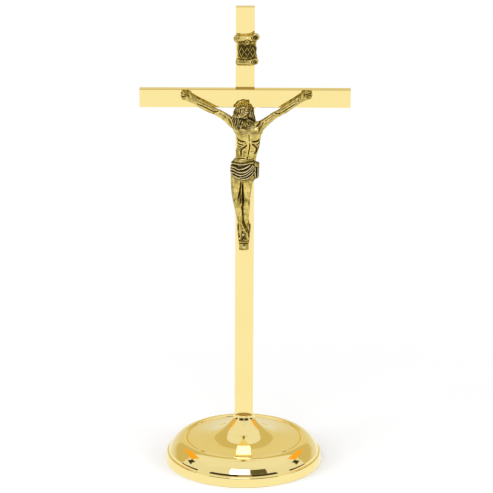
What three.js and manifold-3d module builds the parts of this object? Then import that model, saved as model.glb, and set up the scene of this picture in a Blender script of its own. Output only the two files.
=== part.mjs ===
// Standing cross: two flat brass bars on a weighted spun base, with a cast figure and a cast scroll.
// Millimetres, +Z up. The origin is the centre of the underside, and the front faces -Y.
import * as THREE from "three";
import { mergeVertices } from "three/addons/utils/BufferGeometryUtils.js";
import Module from "manifold-3d";

const wasm = await Module();
wasm.setup();

// Driving sizes of the bars
const BAR_WIDTH = 15;
const BAR_THICK = 6;
const BAR_EDGE = 0.35;
const UPRIGHT_LENGTH = 347.5;
const HEAD_ARM = 74.5;
const CROSS_LENGTH = 169;
const LAP_DEPTH = 2;
const LAP_CLEARANCE = 0.05;
const REST_GAP = 0.3;

// Driving sizes of the base shell, from the cone's top out to the rim
const BASE_HEIGHT = 40.5;
const SHELL_WALL = 1;
const SHELL_SPARE = 0.2;
const NECK_MARGIN = 0.4;
const NECK_EDGE = 0.7;
const DISH_RADIUS = 46;
const DISH_HEIGHT = 19.8;
const GROOVE_WIDTH = 1.6;
const GROOVE_DEPTH = 1.4;
const SHOULDER_HEIGHT = 20.7;
const SHOULDER_CREST = 49.4;
const SHOULDER_RADIUS = 58.9;
const SHOULDER_FOOT = 14.2;
const SHOULDER_SLUMP = 0.5;
const BEVEL_DROP = 3.6;
const BEVEL_REACH = 2.3;
const STEP_DROP = 2;
const STEP_REACH = 0.6;
const RIM_RADIUS = 63.9;
const RIM_TAPER = 0.6;
const RIM_BEAD = 1.6;
const RIM_TUCK = 1;
const RIM_LIFT = 0.4;
const RIM_EDGE = 1.2;

// The cone's flare, as the control and end of each curve: radius, and share of the rise from the dish's edge
const FLARE = [
  [[8.2, 0.925], [8.7, 0.87]],
  [[14.49, 0.506], [18.3, 0.383]],
  [[23.95, 0.203], [28.65, 0.142]],
  [[36.95, 0.036], [DISH_RADIUS, 0]],
];

// Driving sizes of what is inside and under the base
const FELT_THICK = 1.2;
const FELT_MARGIN = 1.5;
const COVER_THICK = 0.8;
const COVER_CLEARANCE = 0.3;
const WEIGHT_CLEARANCE = 0.4;
const WEIGHT_HEADROOM = 2;
const HUB_RADIUS = 11;
const HUB_TAPER = 3;
const HUB_TOP = 29;
const STUD_RADIUS = 2;
const STUD_CLEARANCE = 0.15;
const STUD_IN_BAR = 20;
const STUD_TAIL = 1;
const NUT_FLATS = 7;
const NUT_THICK = 3.2;
const WASHER_RADIUS = 6;
const WASHER_THICK = 1;
const POCKET_CLEARANCE = 0.8;
const POCKET_DEPTH = 7;

// Driving sizes of the fixings
const SCREW_RADIUS = 1.5;
const SCREW_HEAD_RADIUS = 2.8;
const SCREW_SPACING = 8;
const SCREW_SKIN = 1;
const SLOT_WIDTH = 0.7;
const SLOT_DEPTH = 0.8;
const FIT_CLEARANCE = 0.06;
const NAIL_RADIUS = 0.7;
const NAIL_HEAD_RADIUS = 1.15;
const NAIL_HEAD_HEIGHT = 0.7;
const NAIL_HEAD_ROOM = 2;
const FOOT_NAIL_LENGTH = 8.5;
const RIVET_RADIUS = 1;
const RIVET_HEAD_RADIUS = 1.9;
const RIVET_HEAD_HEIGHT = 1.1;
const SCROLL_RIVET_RADIUS = 0.9;
const SCROLL_RIVET_HEAD = 1.5;
const SCROLL_RIVET_DOME = 0.6;
const SCROLL_RIVET_SPACING = 6;
const SCROLL_RIVET_BITE = 1.1;

// Driving sizes of the scroll
const PLATE_WIDTH = 15.4;
const PLATE_WAIST = 0.7;
const PLATE_HEIGHT = 15.4;
const PLATE_THICK = 1.9;
const PLATE_STEPS = 6;
const ROLL_RADIUS = 3.7;
const ROLL_LENGTH = 20.4;
const ROLL_WAIST = 0.12;
const ROLL_STEPS = 8;
const ROLL_SUNK = 0.55;
const FOOT_ROLL_RADIUS = 3;
const FOOT_ROLL_LENGTH = 18.4;
const ROLL_SEAT = 0.65;
const CURL_RADIUS = 2.1;
const CURL_TURNS = 1.5;
const CURL_BAND = 0.55;
const CURL_CLOSE = 0.72;
const CURL_DEPTH = 1.4;
const CURL_STEPS = 16;
const CURL_INSET = 2.9;
const CURL_RISE = 1.4;
const CURL_DROP = 2.3;
const LOZENGE_COUNT = 4;
const LOZENGE_HEIGHT = 6.4;
const LOZENGE_RELIEF = 0.5;
const LOZENGE_SINK = 0.1;
const LOZENGE_MARGIN = 1.5;
const LOZENGE_GAP = 0.6;
const LOZENGE_DROP = 0.6;
const SCROLL_SHIFT = 1.4;
const SCROLL_DROP = 1.7;

// Driving sizes of the foot block and its tab
const BLOCK_WIDTH = 11;
const BLOCK_HEIGHT = 11.9;
const BLOCK_TOP_OUT = 0.2;
const BLOCK_FOOT_OUT = 4.6;
const TAB_WIDTH = 7.2;
const TAB_LENGTH = 9.5;
const TAB_THICK = 1.6;
const TAB_SINK = 1;
const TAB_ROUND = 0.5;

// Counts that set how fine the round shapes are
const BASE_SIDES = 48;
const ROUND_SIDES = 24;
const SMALL_SIDES = 12;
const CURVE_STEPS = 4;
const DOME_STEPS = 3;
const TORSO_SIDES = 20;
const CLOTH_SIDES = 28;
const LIMB_SIDES = 12;
const FINGER_SIDES = 6;
const LOCK_SIDES = 8;
const EGG_SIDES = 12;
const EGG_ROWS = 0.6;
const TOE_SIDES = 7;
const PATH_STEP = 0.01;
const OVERSHOOT = 1;

// Places that follow from the sizes
const NECK_RADIUS = BAR_WIDTH / 2 + NECK_MARGIN;
const CROSS_Z = BASE_HEIGHT + UPRIGHT_LENGTH - HEAD_ARM;
const TOP_Z = BASE_HEIGHT + UPRIGHT_LENGTH;
const UPRIGHT_FRONT = -BAR_THICK / 2;
const UPRIGHT_BACK = BAR_THICK / 2;
const CROSS_BACK = UPRIGHT_FRONT + LAP_DEPTH;
const CROSS_FRONT = CROSS_BACK - BAR_THICK;
const PROUD = UPRIGHT_FRONT - CROSS_FRONT;
const SCROLL_Z = (TOP_Z + CROSS_Z + BAR_WIDTH / 2) / 2 - SCROLL_DROP;
const SHELL_INNER = RIM_RADIUS - RIM_TUCK - SHELL_WALL;
const STEP_RADIUS = SHOULDER_RADIUS + BEVEL_REACH + STEP_REACH;
const STEP_Z = SHOULDER_FOOT - BEVEL_DROP - STEP_DROP;

// Materials
const polished = new THREE.MeshStandardMaterial({ color: 0xe8cf86, roughness: 0.08, metalness: 1 });
const antique = new THREE.MeshStandardMaterial({ color: 0xb39a55, roughness: 0.38, metalness: 1 });
const iron = new THREE.MeshStandardMaterial({ color: 0x3d3d3f, roughness: 0.7, metalness: 0.6 });
const steel = new THREE.MeshStandardMaterial({ color: 0x9a9a9c, roughness: 0.35, metalness: 1 });
const felt = new THREE.MeshStandardMaterial({ color: 0x1d3a26, roughness: 1, metalness: 0 });

// A three.js geometry as a solid that can be cut and joined.
function solid(geometry) {
  const bare = geometry.clone();
  bare.deleteAttribute("normal");
  bare.deleteAttribute("uv");
  const merged = mergeVertices(bare, 1e-4);
  return new wasm.Manifold(
    new wasm.Mesh({
      numProp: 3,
      vertProperties: new Float32Array(merged.attributes.position.array),
      triVerts: new Uint32Array(merged.index.array),
    }),
  );
}

// A solid as a named mesh.
function piece(name, body, material) {
  const mesh = body.getMesh();
  const geometry = new THREE.BufferGeometry();
  geometry.setAttribute("position", new THREE.BufferAttribute(new Float32Array(mesh.vertProperties), 3));
  geometry.setIndex(new THREE.BufferAttribute(new Uint32Array(mesh.triVerts), 1));
  geometry.computeVertexNormals();
  const made = new THREE.Mesh(geometry, material);
  made.name = name;
  return made;
}

function union(bodies) {
  return bodies.reduce((all, body) => all.add(body));
}

// Joins bodies as one casting, with the small pockets that they close between them filled.
function cast(bodies) {
  return union(union(bodies).decompose().filter((body) => body.volume() > 0));
}

// A profile of [radius, height] pairs turned about +Z. It runs from the top outwards and down.
function turned(profile, sides) {
  const points = profile.map(([r, z]) => new THREE.Vector2(r, z));
  const geometry = new THREE.LatheGeometry(points.reverse(), sides);
  geometry.rotateX(Math.PI / 2);
  return solid(geometry);
}

function disc(radius, low, high, sides) {
  return turned([[0, high], [radius, high], [radius, low], [0, low]], sides);
}

// A disc with a hole in it.
function ring(radius, hole, low, high, sides) {
  return turned([[hole, high], [radius, high], [radius, low], [hole, low], [hole, high]], sides);
}

// Turns a body made about +Z to point its top at -Y or +Y, and moves it into place.
function facing(body, toFront, x, y, z) {
  return body.rotate([toFront ? 90 : -90, 0, 0]).translate([x, y, z]);
}

function box(low, high) {
  const size = high.map((value, i) => value - low[i]);
  const geometry = new THREE.BoxGeometry(...size);
  geometry.translate(...low.map((value, i) => value + size[i] / 2));
  return solid(geometry);
}

// A flat bar along +Z from 0 to its length, with softened long edges.
function flatBar(length) {
  const half = BAR_WIDTH / 2;
  const deep = BAR_THICK / 2;
  const shape = new THREE.Shape();
  shape.moveTo(-half + BAR_EDGE, -deep);
  shape.lineTo(half - BAR_EDGE, -deep);
  shape.quadraticCurveTo(half, -deep, half, -deep + BAR_EDGE);
  shape.lineTo(half, deep - BAR_EDGE);
  shape.quadraticCurveTo(half, deep, half - BAR_EDGE, deep);
  shape.lineTo(-half + BAR_EDGE, deep);
  shape.quadraticCurveTo(-half, deep, -half, deep - BAR_EDGE);
  shape.lineTo(-half, -deep + BAR_EDGE);
  shape.quadraticCurveTo(-half, -deep, -half + BAR_EDGE, -deep);
  return solid(new THREE.ExtrudeGeometry(shape, { depth: length, bevelEnabled: false, curveSegments: 2 }));
}

// The height at a share of the flare's rise.
function flareHeight(share) {
  return DISH_HEIGHT + share * (BASE_HEIGHT - NECK_EDGE - DISH_HEIGHT);
}

// The shell's outside, from the stud hole out to the rim's lower edge.
function shellOutside() {
  const path = new THREE.Path();
  path.moveTo(NECK_RADIUS - NECK_EDGE, BASE_HEIGHT);
  path.quadraticCurveTo(NECK_RADIUS, BASE_HEIGHT, NECK_RADIUS, BASE_HEIGHT - NECK_EDGE);
  for (const [control, end] of FLARE) {
    path.quadraticCurveTo(control[0], flareHeight(control[1]), end[0], flareHeight(end[1]));
  }
  path.lineTo(DISH_RADIUS + GROOVE_WIDTH / 2, DISH_HEIGHT - GROOVE_DEPTH);
  path.quadraticCurveTo(DISH_RADIUS + GROOVE_WIDTH, SHOULDER_HEIGHT, SHOULDER_CREST, SHOULDER_HEIGHT);
  path.quadraticCurveTo(
    (SHOULDER_CREST + SHOULDER_RADIUS) / 2,
    SHOULDER_HEIGHT - SHOULDER_SLUMP,
    SHOULDER_RADIUS,
    SHOULDER_FOOT,
  );
  path.lineTo(SHOULDER_RADIUS + BEVEL_REACH, SHOULDER_FOOT - BEVEL_DROP);
  path.lineTo(STEP_RADIUS, STEP_Z);
  path.quadraticCurveTo(RIM_RADIUS - RIM_TAPER, STEP_Z, RIM_RADIUS - RIM_TAPER, STEP_Z - RIM_BEAD);
  path.lineTo(RIM_RADIUS, RIM_LIFT + RIM_EDGE);
  path.quadraticCurveTo(RIM_RADIUS, RIM_LIFT, RIM_RADIUS - RIM_TUCK, RIM_LIFT);
  return path.getPoints(CURVE_STEPS).map((p) => [p.x, p.y]);
}

// The shell's inside, one wall in from its outside, from the rim up to the cone's top.
function shellInside() {
  const rimRoof = STEP_Z - SHELL_WALL - SHELL_SPARE;
  const dishRoof = DISH_HEIGHT - GROOVE_DEPTH - SHELL_WALL;
  const cone = FLARE.slice(0, -1).map(([, [r, share]]) => [r - SHELL_WALL, flareHeight(share) - SHELL_WALL]);
  return [
    [SHELL_INNER, RIM_LIFT],
    [SHELL_INNER, rimRoof],
    [STEP_RADIUS - SHELL_WALL - SHELL_SPARE, rimRoof],
    [SHOULDER_RADIUS + BEVEL_REACH - SHELL_WALL - SHELL_SPARE, SHOULDER_FOOT - BEVEL_DROP - SHELL_SPARE],
    [SHOULDER_RADIUS - SHELL_WALL, SHOULDER_FOOT - SHELL_WALL / 2],
    [(SHOULDER_CREST + SHOULDER_RADIUS) / 2, SHOULDER_HEIGHT - SHOULDER_SLUMP - 2 * SHELL_WALL],
    [DISH_RADIUS + GROOVE_WIDTH, dishRoof],
    [DISH_RADIUS - GROOVE_WIDTH, dishRoof],
    ...cone.reverse(),
    [NECK_RADIUS - SHELL_WALL, BASE_HEIGHT - NECK_EDGE - SHELL_WALL],
  ];
}

function baseShell() {
  const hole = STUD_RADIUS + STUD_CLEARANCE;
  const roof = [[hole, BASE_HEIGHT - NECK_EDGE - SHELL_WALL], [hole, BASE_HEIGHT]];
  return turned([roof[1], ...shellOutside(), ...shellInside(), ...roof], BASE_SIDES);
}

// The cast weight: a stepped disc with a hub in the cone, and a pocket below for the nut.
const WEIGHT_FOOT = FELT_THICK + COVER_THICK;
const WEIGHT_RIM_TOP = STEP_Z - SHELL_WALL - SHELL_SPARE - WEIGHT_CLEARANCE;
const POCKET_ROOF = WEIGHT_FOOT + POCKET_DEPTH;

function baseWeight() {
  const reach = SHOULDER_RADIUS - 2 * SHELL_WALL - WEIGHT_CLEARANCE;
  const shelf = DISH_HEIGHT - GROOVE_DEPTH - SHELL_WALL - WEIGHT_HEADROOM;
  const bore = STUD_RADIUS + STUD_CLEARANCE;
  const pocket = WASHER_RADIUS + POCKET_CLEARANCE;
  const profile = [
    [bore, HUB_TOP],
    [HUB_RADIUS - HUB_TAPER, HUB_TOP],
    [HUB_RADIUS, shelf + (HUB_TOP - shelf) / 2],
    [HUB_RADIUS + HUB_TAPER, shelf],
    [reach - HUB_TAPER, shelf],
    [reach, WEIGHT_RIM_TOP],
    [SHELL_INNER - 2 * WEIGHT_CLEARANCE, WEIGHT_RIM_TOP],
    [SHELL_INNER - 2 * WEIGHT_CLEARANCE, WEIGHT_FOOT],
    [pocket, WEIGHT_FOOT],
    [pocket, POCKET_ROOF],
    [bore, POCKET_ROOF],
    [bore, HUB_TOP],
  ];
  return turned(profile, BASE_SIDES);
}

function bottomCover() {
  return disc(SHELL_INNER - COVER_CLEARANCE, FELT_THICK, WEIGHT_FOOT, BASE_SIDES);
}

function feltPad() {
  return disc(SHELL_INNER - FELT_MARGIN, 0, FELT_THICK, BASE_SIDES);
}

const WASHER_LOW = POCKET_ROOF - WASHER_THICK;
const NUT_LOW = WASHER_LOW - NUT_THICK;

function stemStud() {
  return disc(STUD_RADIUS, NUT_LOW - STUD_TAIL, BASE_HEIGHT + STUD_IN_BAR, ROUND_SIDES);
}

function stemWasher() {
  return ring(WASHER_RADIUS, STUD_RADIUS + STUD_CLEARANCE, WASHER_LOW, POCKET_ROOF, ROUND_SIDES);
}

function stemNut() {
  const corner = NUT_FLATS / Math.sqrt(3);
  const blank = disc(corner, NUT_LOW, WASHER_LOW, 6);
  const bore = STUD_RADIUS + FIT_CLEARANCE;
  return blank.subtract(disc(bore, NUT_LOW - OVERSHOOT, WASHER_LOW + OVERSHOOT, ROUND_SIDES));
}

// Crossing screws: countersunk at the back, with their tips in the crossbar
const SCREW_LENGTH = BAR_THICK + PROUD - SCREW_SKIN;
const SCREW_HEAD_DEPTH = SCREW_HEAD_RADIUS - SCREW_RADIUS;
const SCREW_HEIGHTS = [CROSS_Z + SCREW_SPACING / 2, CROSS_Z - SCREW_SPACING / 2];

function screwBlank(grow) {
  const profile = [
    [0, 0],
    [SCREW_HEAD_RADIUS + grow, 0],
    [SCREW_RADIUS + grow, -SCREW_HEAD_DEPTH - grow],
    [SCREW_RADIUS + grow, -SCREW_LENGTH - grow],
    [0, -SCREW_LENGTH - grow],
  ];
  return turned(profile, SMALL_SIDES);
}

function crossingScrew(z) {
  const half = SLOT_WIDTH / 2;
  const slot = box([-SCREW_HEAD_RADIUS, -half, -SLOT_DEPTH], [SCREW_HEAD_RADIUS, half, OVERSHOOT]);
  return facing(screwBlank(0).subtract(slot), false, 0, UPRIGHT_BACK, z);
}

function screwHoles() {
  return union(SCREW_HEIGHTS.map((z) => facing(screwBlank(FIT_CLEARANCE), false, 0, UPRIGHT_BACK, z)));
}

// Scroll rivets: from the upright's back into the scroll's plate
const SCROLL_RIVET_HEIGHTS = [SCROLL_Z + SCROLL_RIVET_SPACING / 2, SCROLL_Z - SCROLL_RIVET_SPACING / 2];

function scrollRivet(z) {
  const length = BAR_THICK + SCROLL_RIVET_BITE;
  const pin = domedPin(SCROLL_RIVET_HEAD, SCROLL_RIVET_DOME, SCROLL_RIVET_RADIUS, length);
  return facing(pin, false, 0, UPRIGHT_BACK, z);
}

function scrollRivetHoles() {
  const length = BAR_THICK + SCROLL_RIVET_BITE + FIT_CLEARANCE;
  const hole = disc(SCROLL_RIVET_RADIUS + FIT_CLEARANCE, -length, OVERSHOOT, SMALL_SIDES);
  return union(SCROLL_RIVET_HEIGHTS.map((z) => facing(hole, false, 0, UPRIGHT_BACK, z)));
}

// Places on the figure. Each is across, out from the crossbar's front, and up from its centre line.
const WRIST_NAILS = { left: [-42.3, 3.2, -0.7], right: [43.6, 3.2, 0.2] };
const FOOT_NAIL = [-1.1, 7.5, -112.6];
const BLOCK_CENTRE = -0.5;
const BLOCK_TOP = -108.4;

const BLOCK_FOOT = BLOCK_TOP - BLOCK_HEIGHT;
const TAB_RIVET_Z = CROSS_Z + BLOCK_FOOT - TAB_LENGTH + TAB_WIDTH / 2;

function placed([across, out, up]) {
  return new THREE.Vector3(across, CROSS_FRONT - out, CROSS_Z + up);
}

// A domed head with its shank below it, made about +Z with the head's seat at 0.
function domedPin(headRadius, headHeight, radius, length) {
  const dome = [];
  for (let i = 0; i <= DOME_STEPS; i += 1) {
    const angle = (i / DOME_STEPS) * (Math.PI / 2);
    dome.push([headRadius * Math.sin(angle), headHeight * Math.cos(angle)]);
  }
  return turned([...dome, [radius, 0], [radius, -length], [0, -length]], SMALL_SIDES);
}

function nailPin(length) {
  return domedPin(NAIL_HEAD_RADIUS, NAIL_HEAD_HEIGHT, NAIL_RADIUS, length);
}

// The hole that a nail of this length stands in, with room over its head.
function nailCut(length) {
  const room = NAIL_HEAD_HEIGHT + NAIL_HEAD_ROOM;
  const head = disc(NAIL_HEAD_RADIUS + FIT_CLEARANCE, -FIT_CLEARANCE, room, SMALL_SIDES);
  return disc(NAIL_RADIUS + FIT_CLEARANCE, -length, 0, SMALL_SIDES).add(head);
}

function handNail(place) {
  const seat = placed(place);
  return facing(nailPin(CROSS_BACK - seat.y), true, seat.x, seat.y, seat.z);
}

function handNailHole(place) {
  const seat = placed(place);
  return facing(nailCut(CROSS_BACK - seat.y + OVERSHOOT), true, seat.x, seat.y, seat.z);
}

function footNail() {
  const seat = placed(FOOT_NAIL);
  return facing(nailPin(FOOT_NAIL_LENGTH), true, seat.x, seat.y, seat.z);
}

function footNailHole() {
  const seat = placed(FOOT_NAIL);
  return facing(nailCut(FOOT_NAIL_LENGTH + FIT_CLEARANCE), true, seat.x, seat.y, seat.z);
}

function tabRivet() {
  const pin = domedPin(RIVET_HEAD_RADIUS, RIVET_HEAD_HEIGHT, RIVET_RADIUS, TAB_THICK + BAR_THICK);
  return facing(pin, true, BLOCK_CENTRE, UPRIGHT_FRONT - TAB_THICK, TAB_RIVET_Z);
}

function tabRivetHole() {
  const length = TAB_THICK + BAR_THICK + OVERSHOOT;
  return facing(
    disc(RIVET_RADIUS + FIT_CLEARANCE, -length, OVERSHOOT, SMALL_SIDES),
    true,
    BLOCK_CENTRE,
    UPRIGHT_FRONT - TAB_THICK,
    TAB_RIVET_Z,
  );
}

function uprightBar() {
  const stem = disc(STUD_RADIUS + FIT_CLEARANCE, -OVERSHOOT, STUD_IN_BAR + STUD_TAIL, ROUND_SIDES);
  const holes = [screwHoles(), tabRivetHole(), scrollRivetHoles()];
  return flatBar(UPRIGHT_LENGTH)
    .subtract(stem)
    .translate([0, 0, BASE_HEIGHT])
    .subtract(union(holes));
}

function crossBar() {
  const half = BAR_WIDTH / 2 + LAP_CLEARANCE;
  const notch = box(
    [-half, UPRIGHT_FRONT, CROSS_Z - BAR_WIDTH],
    [half, CROSS_BACK + OVERSHOOT, CROSS_Z + BAR_WIDTH],
  );
  const holes = [screwHoles(), handNailHole(WRIST_NAILS.left), handNailHole(WRIST_NAILS.right)];
  return flatBar(CROSS_LENGTH)
    .rotate([0, 90, 0])
    .translate([-CROSS_LENGTH / 2, (CROSS_FRONT + CROSS_BACK) / 2, CROSS_Z])
    .subtract(notch)
    .subtract(union(holes));
}

// A closed skin over rings of points, with a fan at each end.
function skin(rings) {
  const sides = rings[0].length;
  const points = rings.flat();
  const index = [];
  for (let i = 0; i + 1 < rings.length; i += 1) {
    for (let k = 0; k < sides; k += 1) {
      const a = i * sides + k;
      const b = i * sides + ((k + 1) % sides);
      index.push(a, b, b + sides, a, b + sides, a + sides);
    }
  }
  for (const [ends, flip] of [[rings[0], true], [rings[rings.length - 1], false]]) {
    const centre = ends.reduce((sum, p) => sum.clone().add(p)).divideScalar(sides);
    const first = flip ? 0 : (rings.length - 1) * sides;
    points.push(centre);
    for (let k = 0; k < sides; k += 1) {
      const a = first + k;
      const b = first + ((k + 1) % sides);
      index.push(...(flip ? [b, a, points.length - 1] : [a, b, points.length - 1]));
    }
  }
  const geometry = new THREE.BufferGeometry().setFromPoints(points);
  geometry.setIndex(index);
  return solid(geometry);
}

// A smooth value through evenly spaced numbers.
function eased(values, share) {
  const place = share * (values.length - 1);
  const i = Math.min(Math.floor(place), values.length - 2);
  const t = place - i;
  const held = (n) => values[Math.min(Math.max(n, 0), values.length - 1)];
  const [a, b, c, d] = [i - 1, i, i + 1, i + 2].map(held);
  const slope = (c - a) / 2;
  const next = (d - b) / 2;
  return (
    (2 * t ** 3 - 3 * t ** 2 + 1) * b +
    (t ** 3 - 2 * t ** 2 + t) * slope +
    (3 * t ** 2 - 2 * t ** 3) * c +
    (t ** 3 - t ** 2) * next
  );
}

// A limb through stations of [across, out, up, half-width, half-depth], each ring square to its path.
function limb(stations, sides, stepsEach, shape = () => 1) {
  const count = (stations.length - 1) * stepsEach;
  const at = (share) => placed([0, 1, 2].map((k) => eased(stations.map((s) => s[k]), share)));
  const rings = [];
  for (let i = 0; i <= count; i += 1) {
    const share = i / count;
    const centre = at(share);
    const along = at(Math.min(share + PATH_STEP, 1)).sub(at(Math.max(share - PATH_STEP, 0))).normalize();
    const back = new THREE.Vector3(0, 1, 0).addScaledVector(along, -along.y).normalize();
    const side = along.clone().cross(back);
    const width = eased(stations.map((s) => s[3]), share);
    const depth = eased(stations.map((s) => s[4]), share);
    const points = [];
    for (let k = 0; k < sides; k += 1) {
      const angle = (-2 * Math.PI * k) / sides;
      const swell = shape(angle, share);
      points.push(
        centre
          .clone()
          .addScaledVector(side, width * swell * Math.cos(angle))
          .addScaledVector(back, depth * swell * Math.sin(angle)),
      );
    }
    rings.push(points);
  }
  return skin(rings);
}

// An egg-shaped body with its own half-sizes, turned by degrees about X and then Y.
function egg(place, halves, turnX = 0, turnY = 0, sides = EGG_SIDES) {
  const geometry = new THREE.SphereGeometry(1, sides, Math.round(sides * EGG_ROWS));
  geometry.scale(...halves);
  const body = solid(geometry).rotate([turnX, 0, 0]).rotate([0, turnY, 0]);
  return body.translate(placed(place).toArray());
}

// The figure's parts
const TORSO = [
  [2.2, 5.2, -19, 3, 2.6],
  [2.2, 5.2, -21, 11.2, 4.8],
  [2.9, 5.6, -26, 10.8, 6],
  [3, 5.8, -32, 10.3, 6.2],
  [3.1, 5.2, -38, 9.7, 5.8],
  [2.8, 4, -43.5, 8.4, 5],
  [2.2, 3, -48, 6.9, 4.5],
  [1.4, 2.8, -52, 7.6, 4.8],
  [0.4, 3.2, -57, 9.4, 5.6],
  [-0.6, 3.6, -63, 9.6, 5.8],
  [-1, 3.8, -67, 6, 4],
];

const ARMS = {
  left: [
    [-1, 5.4, -22, 3.4, 3.6],
    [-9.4, 4.6, -19.2, 3.7, 3.7],
    [-16, 3.4, -14, 3, 2.9],
    [-22.4, 2.8, -9.4, 2.5, 2.3],
    [-27.6, 2.5, -6.6, 2.7, 2.3],
    [-33.4, 2.2, -3.8, 2.2, 1.9],
    [-38.6, 1.9, -1.4, 1.8, 1.5],
    [-43, 1.7, 0.6, 2.3, 1.4],
    [-46.4, 1.7, 3, 3, 1.4],
    [-48.4, 1.9, 4.6, 2, 1],
  ],
  right: [
    [5, 5.4, -23, 3.4, 3.6],
    [12.2, 4.6, -20.4, 3.7, 3.7],
    [19.6, 3.4, -15.6, 3, 2.9],
    [26.6, 2.8, -11.4, 2.5, 2.3],
    [31.2, 2.5, -8.2, 2.7, 2.3],
    [36.6, 2.2, -4.8, 2.2, 1.9],
    [40.8, 1.9, -1.8, 1.8, 1.5],
    [45, 1.7, 0.8, 2.3, 1.4],
    [48.4, 1.7, 3.4, 3, 1.4],
    [50.2, 1.9, 5, 2, 1],
  ],
};

// Fingers of each hand: root, middle and tip, with their radii
const FINGER_RADII = [0.85, 0.75, 0.5];
const FINGERS = {
  left: [
    [[-47.6, 1.8, 1.6], [-49.4, 2.8, 2.6], [-48.8, 3.4, 3.6]],
    [[-48, 1.8, 2.8], [-50, 2.8, 4], [-49.2, 3.5, 4.8]],
    [[-47.8, 1.8, 4.2], [-49.6, 2.8, 5.6], [-48.8, 3.4, 6]],
    [[-47, 1.8, 5.2], [-48.4, 2.7, 6.8], [-47.6, 3.2, 7]],
    [[-42.4, 2, 2], [-44.4, 2.6, 4.4], [-46, 2.8, 6.2]],
  ],
  right: [
    [[49.4, 1.8, 2], [51.2, 2.8, 3], [50.6, 3.4, 4]],
    [[49.8, 1.8, 3.2], [51.8, 2.8, 4.4], [51, 3.5, 5.2]],
    [[49.6, 1.8, 4.6], [51.4, 2.8, 6], [50.6, 3.4, 6.4]],
    [[48.8, 1.8, 5.6], [50.2, 2.7, 7.2], [49.4, 3.2, 7.4]],
    [[44, 2, 2.4], [46, 2.6, 4.8], [47.8, 2.8, 6.6]],
  ],
};

const LEGS = {
  left: [
    [-4.4, 3.8, -58, 3.6, 4.2],
    [-5.5, 4.6, -64, 4.9, 4.8],
    [-5.9, 5.2, -73, 4.4, 4.2],
    [-5.5, 6, -81, 3.9, 3.6],
    [-5, 6.2, -86, 3.8, 3.4],
    [-4.1, 5, -93, 3.3, 3.1],
    [-3, 4.3, -101, 2.6, 2.4],
    [-1.9, 4.6, -107.5, 1.9, 2],
    [-1.4, 5.8, -112.5, 2.4, 1.8],
    [-0.8, 6.8, -117, 2.6, 1.3],
    [-0.6, 7, -118.6, 2, 0.9],
  ],
  right: [
    [2.4, 3.8, -58, 3.4, 4.2],
    [3.2, 4.6, -64, 4.7, 4.8],
    [2.8, 5, -73, 4.2, 4.2],
    [2.3, 5.4, -82, 3.6, 3.6],
    [2.1, 5.2, -88, 3.4, 3.3],
    [1.9, 4, -95, 3, 3],
    [1.7, 2.6, -102, 2.3, 2.3],
    [1.5, 2.2, -107, 1.8, 1.9],
    [1.1, 2.8, -112, 2.2, 1.8],
    [1.2, 3.6, -116.4, 2.4, 1.4],
    [1.2, 3.8, -118, 1.8, 0.9],
  ],
};

// The hanging end of the cloth at the hip
const CLOTH_END = [
  [9.2, 4.2, -51.6, 2.2, 2.2],
  [10.2, 4.8, -54, 2.4, 2.2],
  [10.4, 4.6, -58, 1.8, 1.8],
  [10.2, 4.4, -63, 2.2, 1.8],
  [10, 4.2, -67.2, 2.4, 1.4],
];

const CLOTH = [
  [0.6, 4, -52.4, 8.4, 5.8],
  [0.3, 4.2, -54, 11, 7],
  [0, 4.2, -58, 11.2, 7.2],
  [-0.6, 4.4, -62, 10.4, 7],
  [-1.2, 4.6, -65, 9, 6.6],
  [-1.4, 5, -67, 6.4, 5.6],
];
const CLOTH_FOLDS = 5;
const CLOTH_FOLD_SHARE = 0.055;
const CLOTH_DRAPE = 0.16;
const CLOTH_HEM = 0.17;

// The chest's swells, as a share of the torso's own size and of its length
const CHEST_SWELL = 0.3;
const CHEST_PLACE = 0.2;
const CHEST_SPAN = 0.13;

const NECK = [
  [2.6, 5, -22, 3.6, 3.2],
  [2.2, 6.4, -17, 3, 2.8],
  [1.6, 8.8, -12, 3, 3],
];

// Locks of hair that hang beside the face
const LOCKS = [
  [
    [-3.6, 8, -7.4, 2, 2],
    [-6.4, 8, -12.4, 2.4, 2.2],
    [-7.6, 7.6, -18.4, 2, 2],
    [-7.4, 8.4, -24.4, 0.9, 0.9],
  ],
  [
    [-1.8, 10.4, -5.4, 2, 1.8],
    [-5, 11, -11.4, 2, 2],
    [-5.8, 10.6, -17.4, 1.8, 1.8],
    [-5.2, 10.4, -22.8, 0.8, 0.8],
  ],
  [
    [5.8, 8, -7.4, 2, 2],
    [8.2, 7.6, -12.4, 2.3, 2.2],
    [9.2, 6.8, -17.4, 1.9, 1.9],
    [9.4, 6.6, -21.4, 0.8, 0.8],
  ],
  [
    [4.6, 10.4, -5.4, 2, 1.8],
    [7, 10.6, -10.8, 1.8, 1.8],
    [7.8, 10, -16, 1.6, 1.6],
    [7.6, 9.6, -19.8, 0.7, 0.7],
  ],
];

const SKULL = [0.9, 9.4, -10.3];
const SKULL_HALVES = [5.7, 6.6, 6.6];
const HEAD_BOW = 25;
const HEAD_LEAN = -12;

// The rest of the head, each with its place across, out and up from the skull, and its half-sizes
const HEAD_PARTS = {
  face: [[0, 3.4, -4.2], [4, 3.2, 4.6]],
  nose: [[0, 6.9, -2.4], [0.75, 1, 1.7]],
  brow: [[0, 5.6, 0.3], [3.2, 1, 0.7]],
  beard: [[0, 4.6, -8.2], [2.7, 2.6, 3]],
  hair: [[0, -2.6, -3], [5.9, 4.6, 6.4]],
};

const bow = THREE.MathUtils.degToRad(HEAD_BOW);
const lean = THREE.MathUtils.degToRad(HEAD_LEAN);

// A place or direction on the head, turned with its bow and its lean.
function bowed(vector) {
  const forward = vector.applyAxisAngle(new THREE.Vector3(1, 0, 0), bow);
  return forward.applyAxisAngle(new THREE.Vector3(0, 1, 0), lean);
}

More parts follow.
